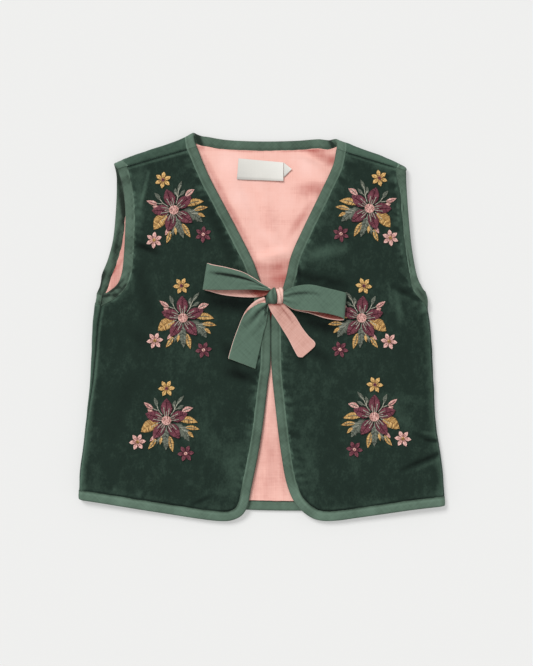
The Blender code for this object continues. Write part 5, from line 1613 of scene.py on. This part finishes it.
def label_cloth(weave):
    made, tree, shader = new_material("label", 0.6, 0.4, 0.1, 0.4)
    cloth = use_group(tree, weave, Pitch=0.3, Turn=0).outputs
    # The points' tone is a painted sheen, with the weave's own uneven tone
    tone = math_node(tree, "MULTIPLY_ADD", cloth["Tone"], 0.15, tone_of(tree))
    set_cloth(tree, shader, shaded(tree, "label", tone), cloth["Height"], 0.00004)
    return made


# Setting

FLOOR_HALF, FLOOR_Z, FLOOR_GLOW = 3000.0, -0.2, 0.66


def build_floor():
    mesh = bpy.data.meshes.new("floor")
    signs = ((-1, -1, 0), (1, -1, 0), (1, 1, 0), (-1, 1, 0))
    corners = [[FLOOR_HALF * sign for sign in corner] for corner in signs]
    mesh.from_pydata((np.array(corners) * MM).tolist(), [], [(0, 1, 2, 3)])
    made, _, shader = new_material("floor", 0.9, 0.1)
    shader.inputs["Base Color"].default_value = colour_of(FLOOR_GREY)
    shader.inputs["Emission Color"].default_value = colour_of(FLOOR_GREY)
    shader.inputs["Emission Strength"].default_value = FLOOR_GLOW
    mesh.materials.append(made)
    floor = link("floor", mesh)
    floor.location.z = FLOOR_Z * MM


CAMERA_HEIGHT = 1800.0
VIEW_CENTRE = 4.56, -6.27
VIEW_TALL = 630.8
GARMENT_MIDDLE = 9.0
SENSOR = 24.0
EVEN_LIGHT = 0.55
KEY_WAY, KEY_STRENGTH, KEY_ANGLE = (0.55, -0.7, -1.05), 2.1, math.radians(24)


def build_camera():
    data = bpy.data.cameras.new("camera")
    data.sensor_fit = "VERTICAL"
    data.sensor_height = SENSOR
    data.lens = SENSOR * (CAMERA_HEIGHT - GARMENT_MIDDLE) / VIEW_TALL
    camera = link("camera", data)
    camera.location = Vector((*VIEW_CENTRE, CAMERA_HEIGHT)) * MM
    bpy.context.scene.camera = camera


def build_light():
    """A large soft light from the upper left, and an even light from all round."""
    world = bpy.data.worlds.new("studio")
    world.use_nodes = True
    background = world.node_tree.nodes["Background"]
    background.inputs["Color"].default_value = WHITE
    background.inputs["Strength"].default_value = EVEN_LIGHT
    bpy.context.scene.world = world
    data = bpy.data.lights.new("key", "SUN")
    data.energy, data.angle = KEY_STRENGTH, KEY_ANGLE
    key = link("key", data)
    key.rotation_euler = Vector(KEY_WAY).to_track_quat("-Z", "Y").to_euler()
    bpy.context.scene.view_settings.view_transform = "Standard"


def main():
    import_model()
    build_camera()
    build_light()
    build_floor()
    weave, mottle = weave_group(), mottle_group()
    green = cotton("binding_green", weave, mottle, pitch=0.55, turn=BIAS, grain=0.6)
    pink = cotton("lining_pink", weave, mottle, pitch=0.6, turn=0, grain=0.3)
    ribbons = [
        cotton(name, weave, mottle, pitch=0.5, turn=BIAS, grain=0.6)
        for name in ("ribbon_green", "ribbon_pink")
    ]
    pile = velvet(mottle)
    threads = [thread(name, mottle) for name in ("leaf", "burgundy", "mustard", "pink", "stem")]
    white = label_cloth(weave)

    bands = back_bands()
    build_back(bands, [pile, pink])
    bound = build_lining(bands, pink)
    names = ("armhole_left_back", "neck_back", "armhole_right_back", "hem_back")
    for seed, name, item in zip(range(500, 540, 10), names, bands):
        # Painted shade on the back's bindings where the fronts lie over them, most at the armholes
        deep = -0.35 if "armhole" in name else -0.1
        build_binding(f"binding_{name}", item, back_surface, green, ["floor"], seed, deep)
    ground = Ground()
    on_front = front_surface, green, ["back_lining"]
    for side, word, narrowed in ((LEFT, "left", 0.0), (RIGHT, "right", 0.34)):
        edge, armhole = build_front(side, [pile, pink], ground)
        build_binding(f"binding_front_{word}", edge, *on_front, 600 + side)
        name = f"binding_armhole_{word}_front"
        build_binding(name, armhole, *on_front, 640 + side, narrowed=narrowed)
    build_label("neck_label", NECK_LABEL, bound, white, (0.3, 1.6, 0.2, 0.1))
    build_label("size_tag", SIZE_TAG, bound, white, (0.2, 1.2, 1.2, 0.2))
    for ribbon in RIBBONS:
        build_ribbon(*ribbon, ground, ribbons)
    build_knot(ribbons, ground)

    leaves, flower = leaves_motif(), flower_motif()
    blossoms = [(name, blossom_motif(*rest)) for name, *rest in BLOSSOMS]
    for spot, *place in SPRIGS:
        lay_motif(f"leaves_{spot}", leaves, ground, place, threads)
        lay_motif(f"flower_{spot}", flower, ground, place, threads)
        for name, motif in blossoms:
            lay_motif(f"blossom_{name}_{spot}", motif, ground, place, threads)

    bpy.context.view_layer.update()


main()
